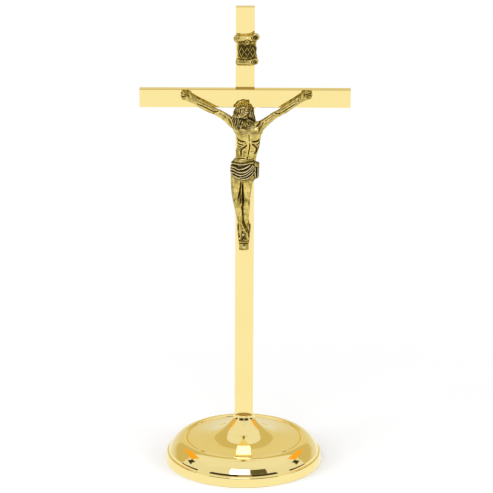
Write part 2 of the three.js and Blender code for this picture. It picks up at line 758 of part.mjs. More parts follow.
function headPart([[across, out, up], halves]) {
  const offset = bowed(new THREE.Vector3(across, -out, up));
  const place = [SKULL[0] + offset.x, SKULL[1] - offset.y, SKULL[2] + offset.z];
  return egg(place, halves, HEAD_BOW, HEAD_LEAN);
}

function figureHead() {
  return union([
    egg(SKULL, SKULL_HALVES, HEAD_BOW, HEAD_LEAN),
    ...Object.values(HEAD_PARTS).map(headPart),
    ...LOCKS.map((lock) => limb(lock, LOCK_SIDES, 2)),
  ]);
}

// The crown: two strands that wind round each other about the brow.
const CROWN_HALVES = [6.3, 7];
const CROWN_STRAND = 0.75;
const CROWN_WIND = 0.7;
const CROWN_TURNS = 7;
const CROWN_STEPS = 36;
const CROWN_SIDES = 5;
const CROWN_RISE = 2.4;

function crownStrand(phase) {
  const sides = CROWN_SIDES;
  const centre = placed(SKULL);
  const points = [];
  const index = [];
  for (let i = 0; i < CROWN_STEPS; i += 1) {
    const turn = (2 * Math.PI * i) / CROWN_STEPS;
    const wind = CROWN_TURNS * turn + phase;
    const reach = CROWN_WIND * Math.cos(wind);
    const rise = CROWN_RISE + CROWN_WIND * Math.sin(wind);
    for (let k = 0; k < sides; k += 1) {
      const angle = (2 * Math.PI * k) / sides;
      const out = reach + CROWN_STRAND * Math.cos(angle);
      const point = new THREE.Vector3(
        (CROWN_HALVES[0] + out) * Math.cos(turn),
        (CROWN_HALVES[1] + out) * Math.sin(turn),
        rise + CROWN_STRAND * Math.sin(angle),
      );
      points.push(bowed(point).add(centre));
      const next = (i + 1) % CROWN_STEPS;
      const a = i * sides + k;
      const b = i * sides + ((k + 1) % sides);
      const c = next * sides + ((k + 1) % sides);
      const d = next * sides + k;
      index.push(a, c, b, a, d, c);
    }
  }
  const geometry = new THREE.BufferGeometry().setFromPoints(points);
  geometry.setIndex(index);
  return solid(geometry);
}

// A wedge behind the feet, thicker at its foot, with the rounded tab below it.
function footBlock() {
  const top = CROSS_Z + BLOCK_TOP;
  const foot = CROSS_Z + BLOCK_FOOT;
  const wedge = new THREE.Shape();
  wedge.moveTo(UPRIGHT_FRONT, top);
  wedge.lineTo(UPRIGHT_FRONT, foot);
  wedge.lineTo(CROSS_FRONT - BLOCK_FOOT_OUT, foot);
  wedge.lineTo(CROSS_FRONT - BLOCK_TOP_OUT, top);
  const block = new THREE.ExtrudeGeometry(wedge, { depth: BLOCK_WIDTH, bevelEnabled: false });
  block.rotateX(Math.PI / 2);
  block.rotateZ(Math.PI / 2);
  block.translate(BLOCK_CENTRE - BLOCK_WIDTH / 2, 0, 0);
  return solid(block).add(footTab(foot));
}

function footTab(top) {
  const half = TAB_WIDTH / 2;
  const low = top - TAB_LENGTH;
  const round = half * TAB_ROUND;
  const shape = new THREE.Shape();
  shape.moveTo(BLOCK_CENTRE - half, top + TAB_SINK);
  shape.lineTo(BLOCK_CENTRE - half, low + round);
  shape.quadraticCurveTo(BLOCK_CENTRE - half, low, BLOCK_CENTRE - half + round, low);
  shape.lineTo(BLOCK_CENTRE + half - round, low);
  shape.quadraticCurveTo(BLOCK_CENTRE + half, low, BLOCK_CENTRE + half, low + round);
  shape.lineTo(BLOCK_CENTRE + half, top + TAB_SINK);
  const tab = new THREE.ExtrudeGeometry(shape, { depth: TAB_THICK, bevelEnabled: false, curveSegments: 3 });
  tab.rotateX(Math.PI / 2);
  tab.translate(0, UPRIGHT_FRONT, 0);
  return solid(tab);
}

const TOE_COUNT = 5;
const TOE_SPREAD = 3.9;
const TOE_TILT = 0.6;
const TOES = { left: [-0.6, 7.1, -119.2], right: [1.3, 4, -118.2] };
const TOE_HALVES = [0.52, 0.8, 1.66];
const BIG_TOE_HALVES = [0.75, 0.8, 1.8];

// A row of toes about a place, from the big toe's side. A negative tilt has the big toe at the left.
function toes([across, out, up], tilt) {
  const all = [];
  const big = tilt > 0 ? TOE_COUNT - 1 : 0;
  for (let i = 0; i < TOE_COUNT; i += 1) {
    const share = i / (TOE_COUNT - 1) - 0.5;
    const halves = i === big ? BIG_TOE_HALVES : TOE_HALVES;
    all.push(egg([across + TOE_SPREAD * share, out, up + tilt * share], halves, 0, 0, TOE_SIDES));
  }
  return union(all);
}

// The chest's two flat swells, with a furrow between them.
function torsoShape(angle, share) {
  const front = Math.max(0, -Math.sin(angle));
  const beside = Math.abs(Math.cos(angle));
  const height = (share - CHEST_PLACE) / CHEST_SPAN;
  return 1 + CHEST_SWELL * front * beside * Math.exp(-height * height);
}

// The cloth's folds, which sweep down across it and fade at its waist and its hem.
function clothShape(angle, share) {
  const drape = share + CLOTH_DRAPE * Math.cos(angle);
  const end = Math.min(1, share / CLOTH_HEM, (1 - share) / CLOTH_HEM);
  return 1 + CLOTH_FOLD_SHARE * end * Math.cos(2 * Math.PI * CLOTH_FOLDS * drape);
}

function figure() {
  const parts = [
    limb(TORSO, TORSO_SIDES, 2, torsoShape),
    limb(NECK, LIMB_SIDES, 2),
    figureHead(),
    crownStrand(0),
    crownStrand(Math.PI),
    limb(CLOTH, CLOTH_SIDES, 4, clothShape),
    limb(CLOTH_END, LOCK_SIDES, 2),
    footBlock(),
    toes(TOES.left, -TOE_TILT),
    toes(TOES.right, TOE_TILT),
  ];
  for (const side of ["left", "right"]) {
    parts.push(limb(ARMS[side], LIMB_SIDES, 2));
    parts.push(limb(LEGS[side], LIMB_SIDES, 2));
    for (const finger of FINGERS[side]) {
      const stations = finger.map((place, i) => [...place, FINGER_RADII[i], FINGER_RADII[i]]);
      parts.push(limb(stations, FINGER_SIDES, 2));
    }
  }
  return cast(parts);
}

// The whole casting, kept off the bars and bored for its nails and rivet.
function corpus() {
  const half = BAR_WIDTH / 2 + REST_GAP;
  const bars = box(
    [-CROSS_LENGTH / 2, CROSS_FRONT - REST_GAP, CROSS_Z - half],
    [CROSS_LENGTH / 2, CROSS_BACK, CROSS_Z + half],
  ).add(box([-BAR_WIDTH, UPRIGHT_FRONT, BASE_HEIGHT], [BAR_WIDTH, UPRIGHT_BACK, TOP_Z]));
  return figure()
    .subtract(bars)
    .subtract(handNailHole(WRIST_NAILS.left))
    .subtract(handNailHole(WRIST_NAILS.right))
    .subtract(footNailHole())
    .subtract(tabRivetHole());
}

// The scroll: a waisted plate between two rolls, with curls at their ends and a row of lozenges.
function scrollPlate() {
  const half = PLATE_WIDTH / 2;
  const tall = PLATE_HEIGHT / 2;
  const shape = new THREE.Shape();
  shape.moveTo(-half, -tall);
  shape.lineTo(half, -tall);
  shape.quadraticCurveTo(half - 2 * PLATE_WAIST, 0, half, tall);
  shape.lineTo(-half, tall);
  shape.quadraticCurveTo(-half + 2 * PLATE_WAIST, 0, -half, -tall);
  const plate = new THREE.ExtrudeGeometry(shape, {
    depth: PLATE_THICK,
    bevelEnabled: false,
    curveSegments: PLATE_STEPS,
  });
  plate.rotateX(Math.PI / 2);
  return solid(plate);
}

// A roll along X that swells at its ends.
function scrollRoll(radius, length) {
  const profile = [[0, length / 2]];
  for (let i = 0; i <= ROLL_STEPS; i += 1) {
    const share = 1 - (2 * i) / ROLL_STEPS;
    profile.push([radius * (1 - ROLL_WAIST * (1 - share ** 2)), (share * length) / 2]);
  }
  profile.push([0, -length / 2]);
  return turned(profile, SMALL_SIDES).rotate([0, 90, 0]);
}

// A flat spiral band on a disc, in the plane of X and Z, that stands out towards -Y.
function curl(radius) {
  const inner = [];
  const outer = [];
  for (let i = 0; i <= CURL_STEPS; i += 1) {
    const share = i / CURL_STEPS;
    const angle = 2 * Math.PI * CURL_TURNS * share;
    const reach = radius * (1 - CURL_CLOSE * share);
    const edge = new THREE.Vector2(Math.cos(angle), Math.sin(angle));
    outer.push(edge.clone().multiplyScalar(reach));
    inner.push(edge.clone().multiplyScalar(reach - CURL_BAND));
  }
  const band = new THREE.Shape([...outer, ...inner.reverse()]);
  const geometry = new THREE.ExtrudeGeometry(band, { depth: CURL_DEPTH, bevelEnabled: false });
  const back = disc(radius - CURL_BAND, -CURL_BAND, CURL_BAND, SMALL_SIDES);
  return solid(geometry).add(back).rotate([90, 0, 0]);
}

function lozenge(width, height) {
  const cone = new THREE.ConeGeometry(1, 1, 4, 1);
  cone.translate(0, 0.5, 0);
  cone.scale(width / 2, LOZENGE_RELIEF, height / 2);
  cone.rotateX(Math.PI);
  cone.translate(0, LOZENGE_SINK - PLATE_THICK, 0);
  return solid(cone);
}

function scroll() {
  const tall = PLATE_HEIGHT / 2;
  const rollZ = tall + ROLL_RADIUS * ROLL_SEAT;
  const footZ = -tall - FOOT_ROLL_RADIUS * ROLL_SEAT;
  const rollOut = ROLL_RADIUS * (1 - ROLL_SUNK);
  const footOut = FOOT_ROLL_RADIUS * (1 - ROLL_SUNK);
  const rollFace = -rollOut - ROLL_RADIUS / 2;
  const pitch = (PLATE_WIDTH - 2 * LOZENGE_MARGIN) / LOZENGE_COUNT;
  const parts = [
    scrollPlate(),
    scrollRoll(ROLL_RADIUS, ROLL_LENGTH).translate([0, -rollOut, rollZ]),
    scrollRoll(FOOT_ROLL_RADIUS, FOOT_ROLL_LENGTH).translate([0, -footOut, footZ]),
    curl(ROLL_RADIUS).translate([ROLL_LENGTH / 2 - CURL_INSET, rollFace, rollZ + CURL_RISE]),
    curl(CURL_RADIUS).translate([0, rollFace, rollZ - CURL_DROP]),
    curl(FOOT_ROLL_RADIUS).translate([
      FOOT_ROLL_LENGTH / 2 - CURL_INSET,
      -footOut - FOOT_ROLL_RADIUS / 2,
      footZ + CURL_RISE / 2,
    ]),
  ];
  for (let i = 0; i < LOZENGE_COUNT; i += 1) {
    const across = pitch * (i - (LOZENGE_COUNT - 1) / 2);
    parts.push(lozenge(pitch - LOZENGE_GAP, LOZENGE_HEIGHT).translate([across, 0, -LOZENGE_DROP]));
  }
  const behind = box([-ROLL_LENGTH, 0, -PLATE_HEIGHT], [ROLL_LENGTH, ROLL_RADIUS + CURL_DEPTH, PLATE_HEIGHT]);
  return cast(parts).subtract(behind).translate([SCROLL_SHIFT, UPRIGHT_FRONT, SCROLL_Z]);
}

function titulusScroll() {
  return scroll().subtract(scrollRivetHoles());
}

const base = new THREE.Group();
base.add(
  piece("base_shell", baseShell(), polished),
  piece("base_weight", baseWeight(), iron),
  piece("bottom_cover", bottomCover(), steel),
  piece("felt_pad", feltPad(), felt),
  piece("stem_stud", stemStud(), steel),
  piece("stem_washer", stemWasher(), steel),
  piece("stem_nut", stemNut(), steel),
);

const bars = new THREE.Group();
bars.add(
  piece("upright_bar", uprightBar(), polished),
  piece("cross_bar", crossBar(), polished),
  piece("crossing_screw_upper", crossingScrew(SCREW_HEIGHTS[0]), steel),
  piece("crossing_screw_lower", crossingScrew(SCREW_HEIGHTS[1]), steel),
  piece("titulus_scroll", titulusScroll(), antique),
  piece("scroll_rivet_upper", scrollRivet(SCROLL_RIVET_HEIGHTS[0]), polished),
  piece("scroll_rivet_lower", scrollRivet(SCROLL_RIVET_HEIGHTS[1]), polished),
);

const crucified = new THREE.Group();
crucified.add(
  piece("corpus", corpus(), antique),
  piece("hand_nail_left", handNail(WRIST_NAILS.left), antique),
  piece("hand_nail_right", handNail(WRIST_NAILS.right), antique),
  piece("foot_nail", footNail(), antique),
  piece("tab_rivet", tabRivet(), antique),
);

const cross = new THREE.Group();
cross.add(base, bars, crucified);

export default cross;
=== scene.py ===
"""Looks for the standing cross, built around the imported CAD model.

Metres in Blender, +Z up, and the front faces -Y. The cast pieces are modelled in millimetres as
voxel clay: (across, out, up), where out is measured from the crossbar's front and up from its
centre line.
"""

import math

import bpy
import numpy as np
from mathutils import Matrix, Vector


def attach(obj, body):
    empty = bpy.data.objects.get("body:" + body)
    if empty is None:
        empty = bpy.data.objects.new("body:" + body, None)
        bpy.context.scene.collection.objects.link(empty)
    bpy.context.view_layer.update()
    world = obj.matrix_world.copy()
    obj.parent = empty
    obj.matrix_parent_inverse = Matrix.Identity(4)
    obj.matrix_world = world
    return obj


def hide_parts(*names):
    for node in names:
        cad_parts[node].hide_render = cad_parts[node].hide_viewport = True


MM = 0.001

# Places that the CAD model sets, in millimetres
CROSS_FRONT = -7.0
CROSS_Z = 313.5
UPRIGHT_FRONT = -3.0
UPRIGHT_OUT = CROSS_FRONT - UPRIGHT_FRONT
REST_GAP = 0.3
BAR_TOUCH = 0.02
BAR_HALF = 7.5

# The camera that the photograph was taken with
CAMERA_TARGET = (1.644, 0.0, 185.77)
CAMERA_DISTANCE = 3393.7
CAMERA_ELEVATION = math.radians(19.214)
CAMERA_ROLL = math.radians(0.238)
SENSOR_WIDTH = 36.0
FOCAL_WIDTHS = 4180.8 / 493
CAMERA_SIGHT = 100.0

# How fine the clay is, the blocks that it is cut from, and how far its distances reach
BODY_STEP = 0.34
HEAD_STEP = 0.2
CLOTH_STEP = 0.26
SCROLL_STEP = 0.17
BODY_BLOCK = [[-54.5, UPRIGHT_OUT - 1, -132.5], [57, 15, 12.5]]
HEAD_BLOCK = [[-14, -2, -29], [14.5, 22, 1.5]]
CLOTH_BLOCK = [[-14.5, UPRIGHT_OUT - 0.5, -69.5], [14.5, 15.5, -47.5]]
SCROLL_BLOCK = [[-13, -0.6, -14], [13, 7.6, 17]]
FAR = 5.0
REACH = 2.6
LIMB_REACH = 1.2
STEEP = 0.2
LINE_STEPS = 6
LINE_REACH = 3
LINE_SOFT = 1.5

# How the wear and the painted shade are read from the clay: band, two blur radii, their shares (the last one
# painted shade on faces turned away from the front), and the soft edge of the patches of patina and painted
# shade
WEAR_BAND = 2.5
WEAR_NEAR = 0.45
WEAR_WIDE = 1.1
WEAR_SHARE = 0.25
WEAR_DEEP = 0.7
SIDE_SHADE = 0.13
SHADE_PATCH_EDGE = [0.7, 1.3]

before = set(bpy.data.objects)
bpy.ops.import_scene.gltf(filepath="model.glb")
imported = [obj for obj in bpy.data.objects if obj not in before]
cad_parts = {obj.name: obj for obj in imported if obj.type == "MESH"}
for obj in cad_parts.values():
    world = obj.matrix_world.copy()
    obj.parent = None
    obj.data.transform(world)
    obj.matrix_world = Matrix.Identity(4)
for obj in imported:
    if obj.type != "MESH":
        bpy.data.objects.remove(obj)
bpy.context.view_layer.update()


def smooth_min(a, b, blend):
    h = np.maximum(blend - np.abs(a - b), 0) / blend
    return np.minimum(a, b) - h * h * blend / 4


def smooth_step(x, low, high):
    t = np.clip((x - low) / (high - low), 0, 1)
    return t * t * (3 - 2 * t)


def eased(stations, steps):
    """A smooth path through the stations, with this many steps between each two."""
    rows = np.array(stations, float)
    held = np.vstack([rows[:1], rows, rows[-1:]])
    out = []
    for i in range(len(rows) - 1):
        a, b, c, d = held[i : i + 4]
        for k in range(steps):
            t = k / steps
            slope, following = (c - a) / 2, (d - b) / 2
            out.append(
                (2 * t**3 - 3 * t**2 + 1) * b
                + (t**3 - 2 * t**2 + t) * slope
                + (3 * t**2 - 2 * t**3) * c
                + (t**3 - t**2) * following
            )
    out.append(rows[-1])
    return np.array(out)


def egg_distance(x, y, z, halves):
    near = np.sqrt((x / halves[0]) ** 2 + (y / halves[1]) ** 2 + (z / halves[2]) ** 2)
    slope = np.sqrt(
        (x / halves[0] ** 2) ** 2 + (y / halves[1] ** 2) ** 2 + (z / halves[2] ** 2) ** 2
    )
    return near * (near - 1) / np.maximum(slope, 1e-4)


def turned_axes(tilt, lean, turn=0.0):
    """Axes of a piece that nods forward by tilt, leans sideways by lean and turns by turn degrees."""
    t, s, r = np.radians([tilt, lean, turn])
    nod = np.array([[1, 0, 0], [0, math.cos(t), -math.sin(t)], [0, math.sin(t), math.cos(t)]])
    side = np.array([[math.cos(s), 0, math.sin(s)], [0, 1, 0], [-math.sin(s), 0, math.cos(s)]])
    spin = np.array([[math.cos(r), math.sin(r), 0], [-math.sin(r), math.cos(r), 0], [0, 0, 1]])
    return side @ nod @ spin


class Clay:
    """A block of voxels that holds the distance to a surface in millimetres, negative inside."""

    def __init__(self, low, high, step):
        self.step = step
        self.low = np.array(low, float)
        count = np.ceil((np.array(high, float) - self.low) / step).astype(int) + 1
        self.axes = [self.low[i] + step * np.arange(count[i]) for i in range(3)]
        self.field = np.full(count, FAR, np.float32)

    def window(self, low, high, reach=REACH):
        cuts = []
        for i in range(3):
            first = np.searchsorted(self.axes[i], low[i] - reach)
            last = np.searchsorted(self.axes[i], high[i] + reach)
            cuts.append(slice(first, max(last, first + 1)))
        x, y, z = (self.axes[i][cuts[i]] for i in range(3))
        return tuple(cuts), x[:, None, None], y[None, :, None], z[None, None, :]

    def join(self, cuts, distance, blend):
        self.field[cuts] = smooth_min(self.field[cuts], distance, blend)

    def cut(self, cuts, distance, blend):
        self.field[cuts] = -smooth_min(-self.field[cuts], distance, blend)

    def limb(self, stations, blend=1.0, steps=3, strands=0, depth=0.0, twist=0.0):
        """A limb through [across, out, up, half-width, half-depth], with strands along it."""
        path = eased(stations, steps)
        reach = path[:, 3:5].max()
        cuts, x, y, z = self.window(path[:, :3].min(0) - reach, path[:, :3].max(0) + reach, LIMB_REACH)
        part = np.full(self.field[cuts].shape, FAR, np.float32)
        for i in range(len(path) - 1):
            start, end = path[i], path[i + 1]
            along = end[:3] - start[:3]
            length = np.linalg.norm(along)
            if length < 1e-6:
                continue
            along = along / length
            back = np.array([0.0, 1.0, 0.0]) - along[1] * along
            if np.linalg.norm(back) < STEEP:
                back = np.array([0.0, 0.0, 1.0]) - along[2] * along
            back = back / np.linalg.norm(back)
            side = np.cross(along, back)
            px, py, pz = x - start[0], y - start[1], z - start[2]
            t = np.clip((px * along[0] + py * along[1] + pz * along[2]) / length, 0, 1)
            qx, qy, qz = (p - t * length * a for p, a in ((px, along[0]), (py, along[1]), (pz, along[2])))
            u = qx * side[0] + qy * side[1] + qz * side[2]
            v = qx * back[0] + qy * back[1] + qz * back[2]
            w = qx * along[0] + qy * along[1] + qz * along[2]
            width = start[3] + t * (end[3] - start[3])
            thick = start[4] + t * (end[4] - start[4])
            share = (i + t) / (len(path) - 1)
            if strands:
                angle = np.arctan2(v / thick, u / width) + twist * share
                swell = 1 + depth * np.cos(strands * angle)
                width, thick = width * swell, thick * swell
            part = np.minimum(part, egg_distance(u, v, w, (width, thick, np.minimum(width, thick))))
        self.join(cuts, part, blend)

    def egg(self, place, halves, blend=1.0, tilt=0.0, lean=0.0, turn=0.0, take=False):
        reach = max(halves)
        centre = np.array(place, float)
        cuts, x, y, z = self.window(centre - reach, centre + reach)
        axes = turned_axes(tilt, lean, turn)
        p = [x - centre[0], y - centre[1], z - centre[2]]
        local = [sum(p[k] * axes[k, i] for k in range(3)) for i in range(3)]
        distance = egg_distance(*local, halves)
        if take:
            self.cut(cuts, distance, blend)
        else:
            self.join(cuts, distance, blend)

    def line(self, points, width, depth, front=2.0, fade=0.25):
        """Presses a groove along a line drawn on the front, or raises a ridge if depth is negative."""
        path = eased(points, LINE_STEPS)
        edge = LINE_REACH * width
        low = [path[:, 0].min() - edge, front, path[:, 1].min() - edge]
        high = [path[:, 0].max() + edge, self.axes[1][-1], path[:, 1].max() + edge]
        cuts, x, y, z = self.window(low, high, 0.0)
        x2, z2 = x[:, 0, :], z[0, :, :]
        best = np.full((x2.shape[0], z2.shape[1]), 1e6)
        share = np.zeros_like(best)
        for i in range(len(path) - 1):
            ax, az = path[i]
            bx, bz = path[i + 1] - path[i]
            t = np.clip(((x2 - ax) * bx + (z2 - az) * bz) / max(bx * bx + bz * bz, 1e-9), 0, 1)
            away = (x2 - ax - t * bx) ** 2 + (z2 - az - t * bz) ** 2
            nearer = away < best
            best = np.where(nearer, away, best)
            share = np.where(nearer, (i + t) / (len(path) - 1), share)
        ends = np.minimum(smooth_step(share, 0, fade), smooth_step(1 - share, 0, fade)) if fade else 1.0
        press = depth * np.exp(-best / width**2) * ends
        press = press[:, None, :] * smooth_step(y, front, front + LINE_SOFT)
        self.field[cuts] += press.astype(np.float32)

    def surface(self):
        """The surface as vertices, quads and how deep each vertex lies in hollows, with painted shade added
        on faces turned away from the front.
        """
        inside = self.field < 0
        corners = np.zeros(np.array(self.field.shape) - 1, np.int8)
        offsets = [(i, j, k) for i in (0, 1) for j in (0, 1) for k in (0, 1)]
        nx, ny, nz = corners.shape
        for i, j, k in offsets:
            corners += inside[i : i + nx, j : j + ny, k : k + nz]
        cells = np.argwhere((corners > 0) & (corners < 8))
        number = np.full(corners.shape, -1, np.int32)
        number[tuple(cells.T)] = np.arange(len(cells))
        values = {o: self.field[tuple((cells + o).T)] for o in offsets}
        total = np.zeros((len(cells), 3))
        count = np.zeros(len(cells))
        for o in offsets:
            for axis in range(3):
                if o[axis]:
                    continue
                far = tuple(o[n] + (n == axis) for n in range(3))
                a, b = values[o], values[far]
                crossed = (a < 0) != (b < 0)
                point = np.tile(np.array(o, float), (len(cells), 1))
                point[:, axis] += a / np.where(crossed, a - b, 1)
                total[crossed] += point[crossed]
                count += crossed
        places = cells + total / count[:, None]
        quads = []
        for axis in range(3):
            near = tuple(slice(0, -1) if n == axis else slice(1, -1) for n in range(3))
            beyond = tuple(slice(1, None) if n == axis else slice(1, -1) for n in range(3))
            starts = inside[near]
            flips = starts != inside[beyond]
            at = np.argwhere(flips) + np.array([0 if n == axis else 1 for n in range(3)])
            leaves = starts[flips]
            p, q = ((1, 2), (2, 0), (0, 1))[axis]
            ring = []
            for dp, dq in ((-1, -1), (0, -1), (0, 0), (-1, 0)):
                spot = at.copy()
                spot[:, p] += dp
                spot[:, q] += dq
                ring.append(number[tuple(spot.T)])
            face = np.stack(ring, 1)
            face[~leaves] = face[~leaves][:, ::-1]
            quads.append(face)
        return self.low + places * self.step, np.concatenate(quads), self.hollow_and_shade(places)

    def hollow_and_shade(self, places):
        """How far the surface at these places stands over what is round it, negative in hollows, lowered
        further as painted shade on faces turned away from the front.
        """
        soft = np.clip(self.field, -WEAR_BAND, WEAR_BAND)
        for _ in range(2):
            soft = box_blur(soft, max(1, round(WEAR_NEAR / self.step)))
        wide = soft
        for _ in range(2):
            wide = box_blur(wide, max(2, round(WEAR_WIDE / self.step)))
        near = sample(soft, places)
        far = sample(wide, places)
        ahead = np.array([0.0, 1.0, 0.0])
        slope = (sample(soft, places + ahead) - sample(soft, places - ahead)) / (2 * self.step)
        # Painted shade: faces that turn away from the front are made darker.
        side = (1 - np.clip(np.abs(slope), 0, 1)) ** 2
        return near - WEAR_SHARE * far + WEAR_DEEP * np.minimum(far, 0) - SIDE_SHADE * side


def box_blur(values, radius):
    for axis in range(3):
        padded = np.concatenate(
            [np.repeat(np.take(values, [0], axis), radius + 1, axis), values,
             np.repeat(np.take(values, [-1], axis), radius, axis)],
            axis,
        )
        total = np.cumsum(padded, axis, dtype=np.float64)
        size = values.shape[axis]
        upper = np.take(total, range(2 * radius + 1, 2 * radius + 1 + size), axis)
        lower = np.take(total, range(0, size), axis)
        values = ((upper - lower) / (2 * radius + 1)).astype(np.float32)
    return values


def sample(values, places):
    base = np.clip(places.astype(int), 0, np.array(values.shape) - 2)
    t = places - base
    out = np.zeros(len(places))
    for i in (0, 1):
        for j in (0, 1):
            for k in (0, 1):
                weight = np.ones(len(places))
                for n, o in enumerate((i, j, k)):
                    weight *= t[:, n] if o else 1 - t[:, n]
                out += weight * values[tuple((base + (i, j, k)).T)]
    return out


def mesh_object(name, vertices, faces):
    mesh = bpy.data.meshes.new(name)
    mesh.from_pydata(np.asarray(vertices).tolist(), [], [list(face) for face in faces])
    mesh.polygons.foreach_set("use_smooth", [True] * len(mesh.polygons))
    mesh.update()
    made = bpy.data.objects.new(name, mesh)
    bpy.context.scene.collection.objects.link(made)
    return made


def stand_in(made, material, node):
    """The piece gets its material and takes the CAD node's place."""
    made.data.materials.append(material)
    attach(made, "root")
    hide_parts(node)


def cast_piece(name, clay, look, node, place, patina_and_shade):
    """The clay as a mesh in the frame, with its hollows kept for the patina, and with patches of thicker
    patina, painted shade and painted light added.
    """
    points, quads, hollow_and_shade = clay.surface()
    # Each patch darkens the colour as thicker patina and painted shade, or brightens it as painted light if
    # its amount is negative.
    for centre, halves, amount in patina_and_shade:
        away = np.sqrt((((points - centre) / halves) ** 2).sum(1))
        hollow_and_shade -= amount * (1 - smooth_step(away, *SHADE_PATCH_EDGE))
    across, front, lift = place
    world = np.stack([across + points[:, 0], front - points[:, 1], lift + points[:, 2]], 1) * MM
    made = mesh_object(name, world, quads[:, ::-1].tolist())
    layer = made.data.attributes.new("hollow_and_shade", "FLOAT", "POINT")
    layer.data.foreach_set("value", hollow_and_shade.astype(np.float32))
    stand_in(made, antique_brass(look, *CAST_TONES[look]), node)


# Patches of thicker patina and of painted shade in shadowed creases, or of painted light where the amount is
# negative: place, half-sizes and how much
BODY_PATINA_AND_SHADE = [
    [[-5.2, 2.6, -112.6], [1.3, 3, 5.6], 0.12],
    [[4.1, 2.6, -111.4], [1.5, 3, 6.6], 0.12],
    [[1, 5, -106.6], [0.9, 3, 3], 0.08],
    [[-0.8, 6.5, -115.4], [2.2, 2.6, 2.3], 0.12],
    [[-1, 6.5, -118.4], [2.6, 2.4, 0.9], 0.1],
    [[-4.6, 7, -80.4], [1.5, 4, 5.2], 0.16],
    [[-0.9, 7, -81], [1, 4, 6], 0.14],
    [[-1.7, 5, -96], [1.3, 4, 9], 0.08],
    [[-9.6, 5, -50.6], [2.4, 6, 1.6], 0.1],
    [[1, 8, -50.9], [7.4, 3, 0.9], 0.1],
    [[10.6, 5, -21.6], [1.4, 6, 3], 0.07],
    [[-8.8, 5, -20], [1.4, 6, 3], 0.07],
    [[-46.4, 3, 3.2], [2.2, 3, 2.2], 0.09],
    [[48.4, 3, 4.2], [2.2, 3, 2.2], 0.09],
    [[1.6, 7, -36], [9, 5, 10], -0.03],
    [[2.6, 8, -25.6], [8.6, 4, 3], -0.06],
    [[-0.8, 8, -43.2], [1.9, 3, 3], 0.07],
    [[9, 7, -42.4], [1.5, 3, 2.2], 0.1],
    [[-0.5, -2, -123.4], [4.8, 1.6, 0.5], 0.3],
]
HEAD_PATINA_AND_SHADE = [
    [[-2.6, 11, -17], [8.6, 8, 6], 0.075],
    [[7.6, 9, -16.4], [2.2, 6, 2.6], 0.12],
    [[-6.6, 14, -11.6], [2.6, 3.4, 1.4], -0.1],
    [[-3, 16.4, -10], [2.8, 3.2, 1.4], -0.1],
    [[1.6, 16, -8.4], [2.6, 3.2, 1.4], -0.1],
    [[-3.4, 15.4, -12.6], [4.6, 3.4, 0.9], 0.12],
    [[7.9, 7, -10.4], [1.6, 5, 2.4], 0.09],
    [[1.2, 16, -16.6], [2.6, 3, 3.6], -0.06],
    [[-1, 12, -5.6], [4.4, 8, 3.4], -0.05],
    [[-0.5, 2, -7], [9, 5, 6.5], -0.13],
]
CLOTH_PATINA_AND_SHADE = [
    [[9.6, 7, -60], [2.4, 4, 5], 0.08],
]
SCROLL_PATINA_AND_SHADE = [
    [[0, 2, -0.4], [9, 1.6, 6.4], 0.17],
    [[6.7, 5.2, 11.9], [2.1, 1.6, 2.1], 0.2],
    [[6.4, 4.4, -8.7], [1.8, 2.2, 1.8], 0.14],
    [[2.6, 3.6, 7.2], [1.1, 2.6, 0.9], 0.2],
    [[0, 4.6, 10.6], [8, 2, 1.2], -0.05],
]

# The figure, in [across, out, up, half-width, half-depth]
TORSO = [
    [2.4, 5, -19.5, 5.6, 3.2],
    [2.5, 5, -22, 10.4, 4.8],
    [2.8, 5.4, -26, 10.2, 5.6],
    [2.9, 5.6, -31, 9.7, 5.8],
    [2.9, 5.2, -36, 9.3, 5.6],
    [2.4, 4.4, -41, 8.5, 5],
    [1.6, 3.8, -45.5, 7.9, 4.6],
    [0.6, 3.6, -50, 8.4, 4.8],
    [0, 3.6, -55, 9.6, 5.4],
    [-0.4, 3.8, -61, 9.4, 5.6],
    [-0.6, 4, -66, 7, 4.4],
]
ARMS = [
    [
        [-3, 5.2, -22.6, 3.4, 3.8],
        [-8.6, 5, -19.6, 4, 4],
        [-14.6, 4.2, -15, 3.2, 3.2],
        [-20, 3.4, -11.6, 2.9, 2.8],
        [-24.2, 3.1, -9.6, 2.7, 2.5],
        [-29, 2.9, -7.4, 3.2, 2.7],
        [-34.5, 2.6, -4.3, 3.1, 2.5],
        [-39, 2.4, -1.7, 2.9, 2.1],
        [-42.4, 2.2, 0.3, 3.1, 1.8],
        [-45.2, 2.1, 1.7, 3.3, 1.6],
        [-47.4, 2, 2.6, 2.6, 1.3],
    ],
    [
        [6.6, 5.2, -23.6, 3.4, 3.8],
        [12.6, 5, -21, 3.8, 4],
        [18, 4.2, -17, 3.1, 3.2],
        [23.4, 3.4, -13, 2.8, 2.8],
        [27.8, 3.1, -10.5, 2.6, 2.5],
        [32.2, 2.9, -7.8, 3.1, 2.7],
        [37, 2.6, -4.4, 2.9, 2.5],
        [41.2, 2.4, -1.5, 2.8, 2.1],
        [44.6, 2.2, 0.8, 3, 1.8],
        [47.6, 2.1, 2.6, 3.2, 1.6],
        [49.8, 2, 3.7, 2.6, 1.3],
    ],
]
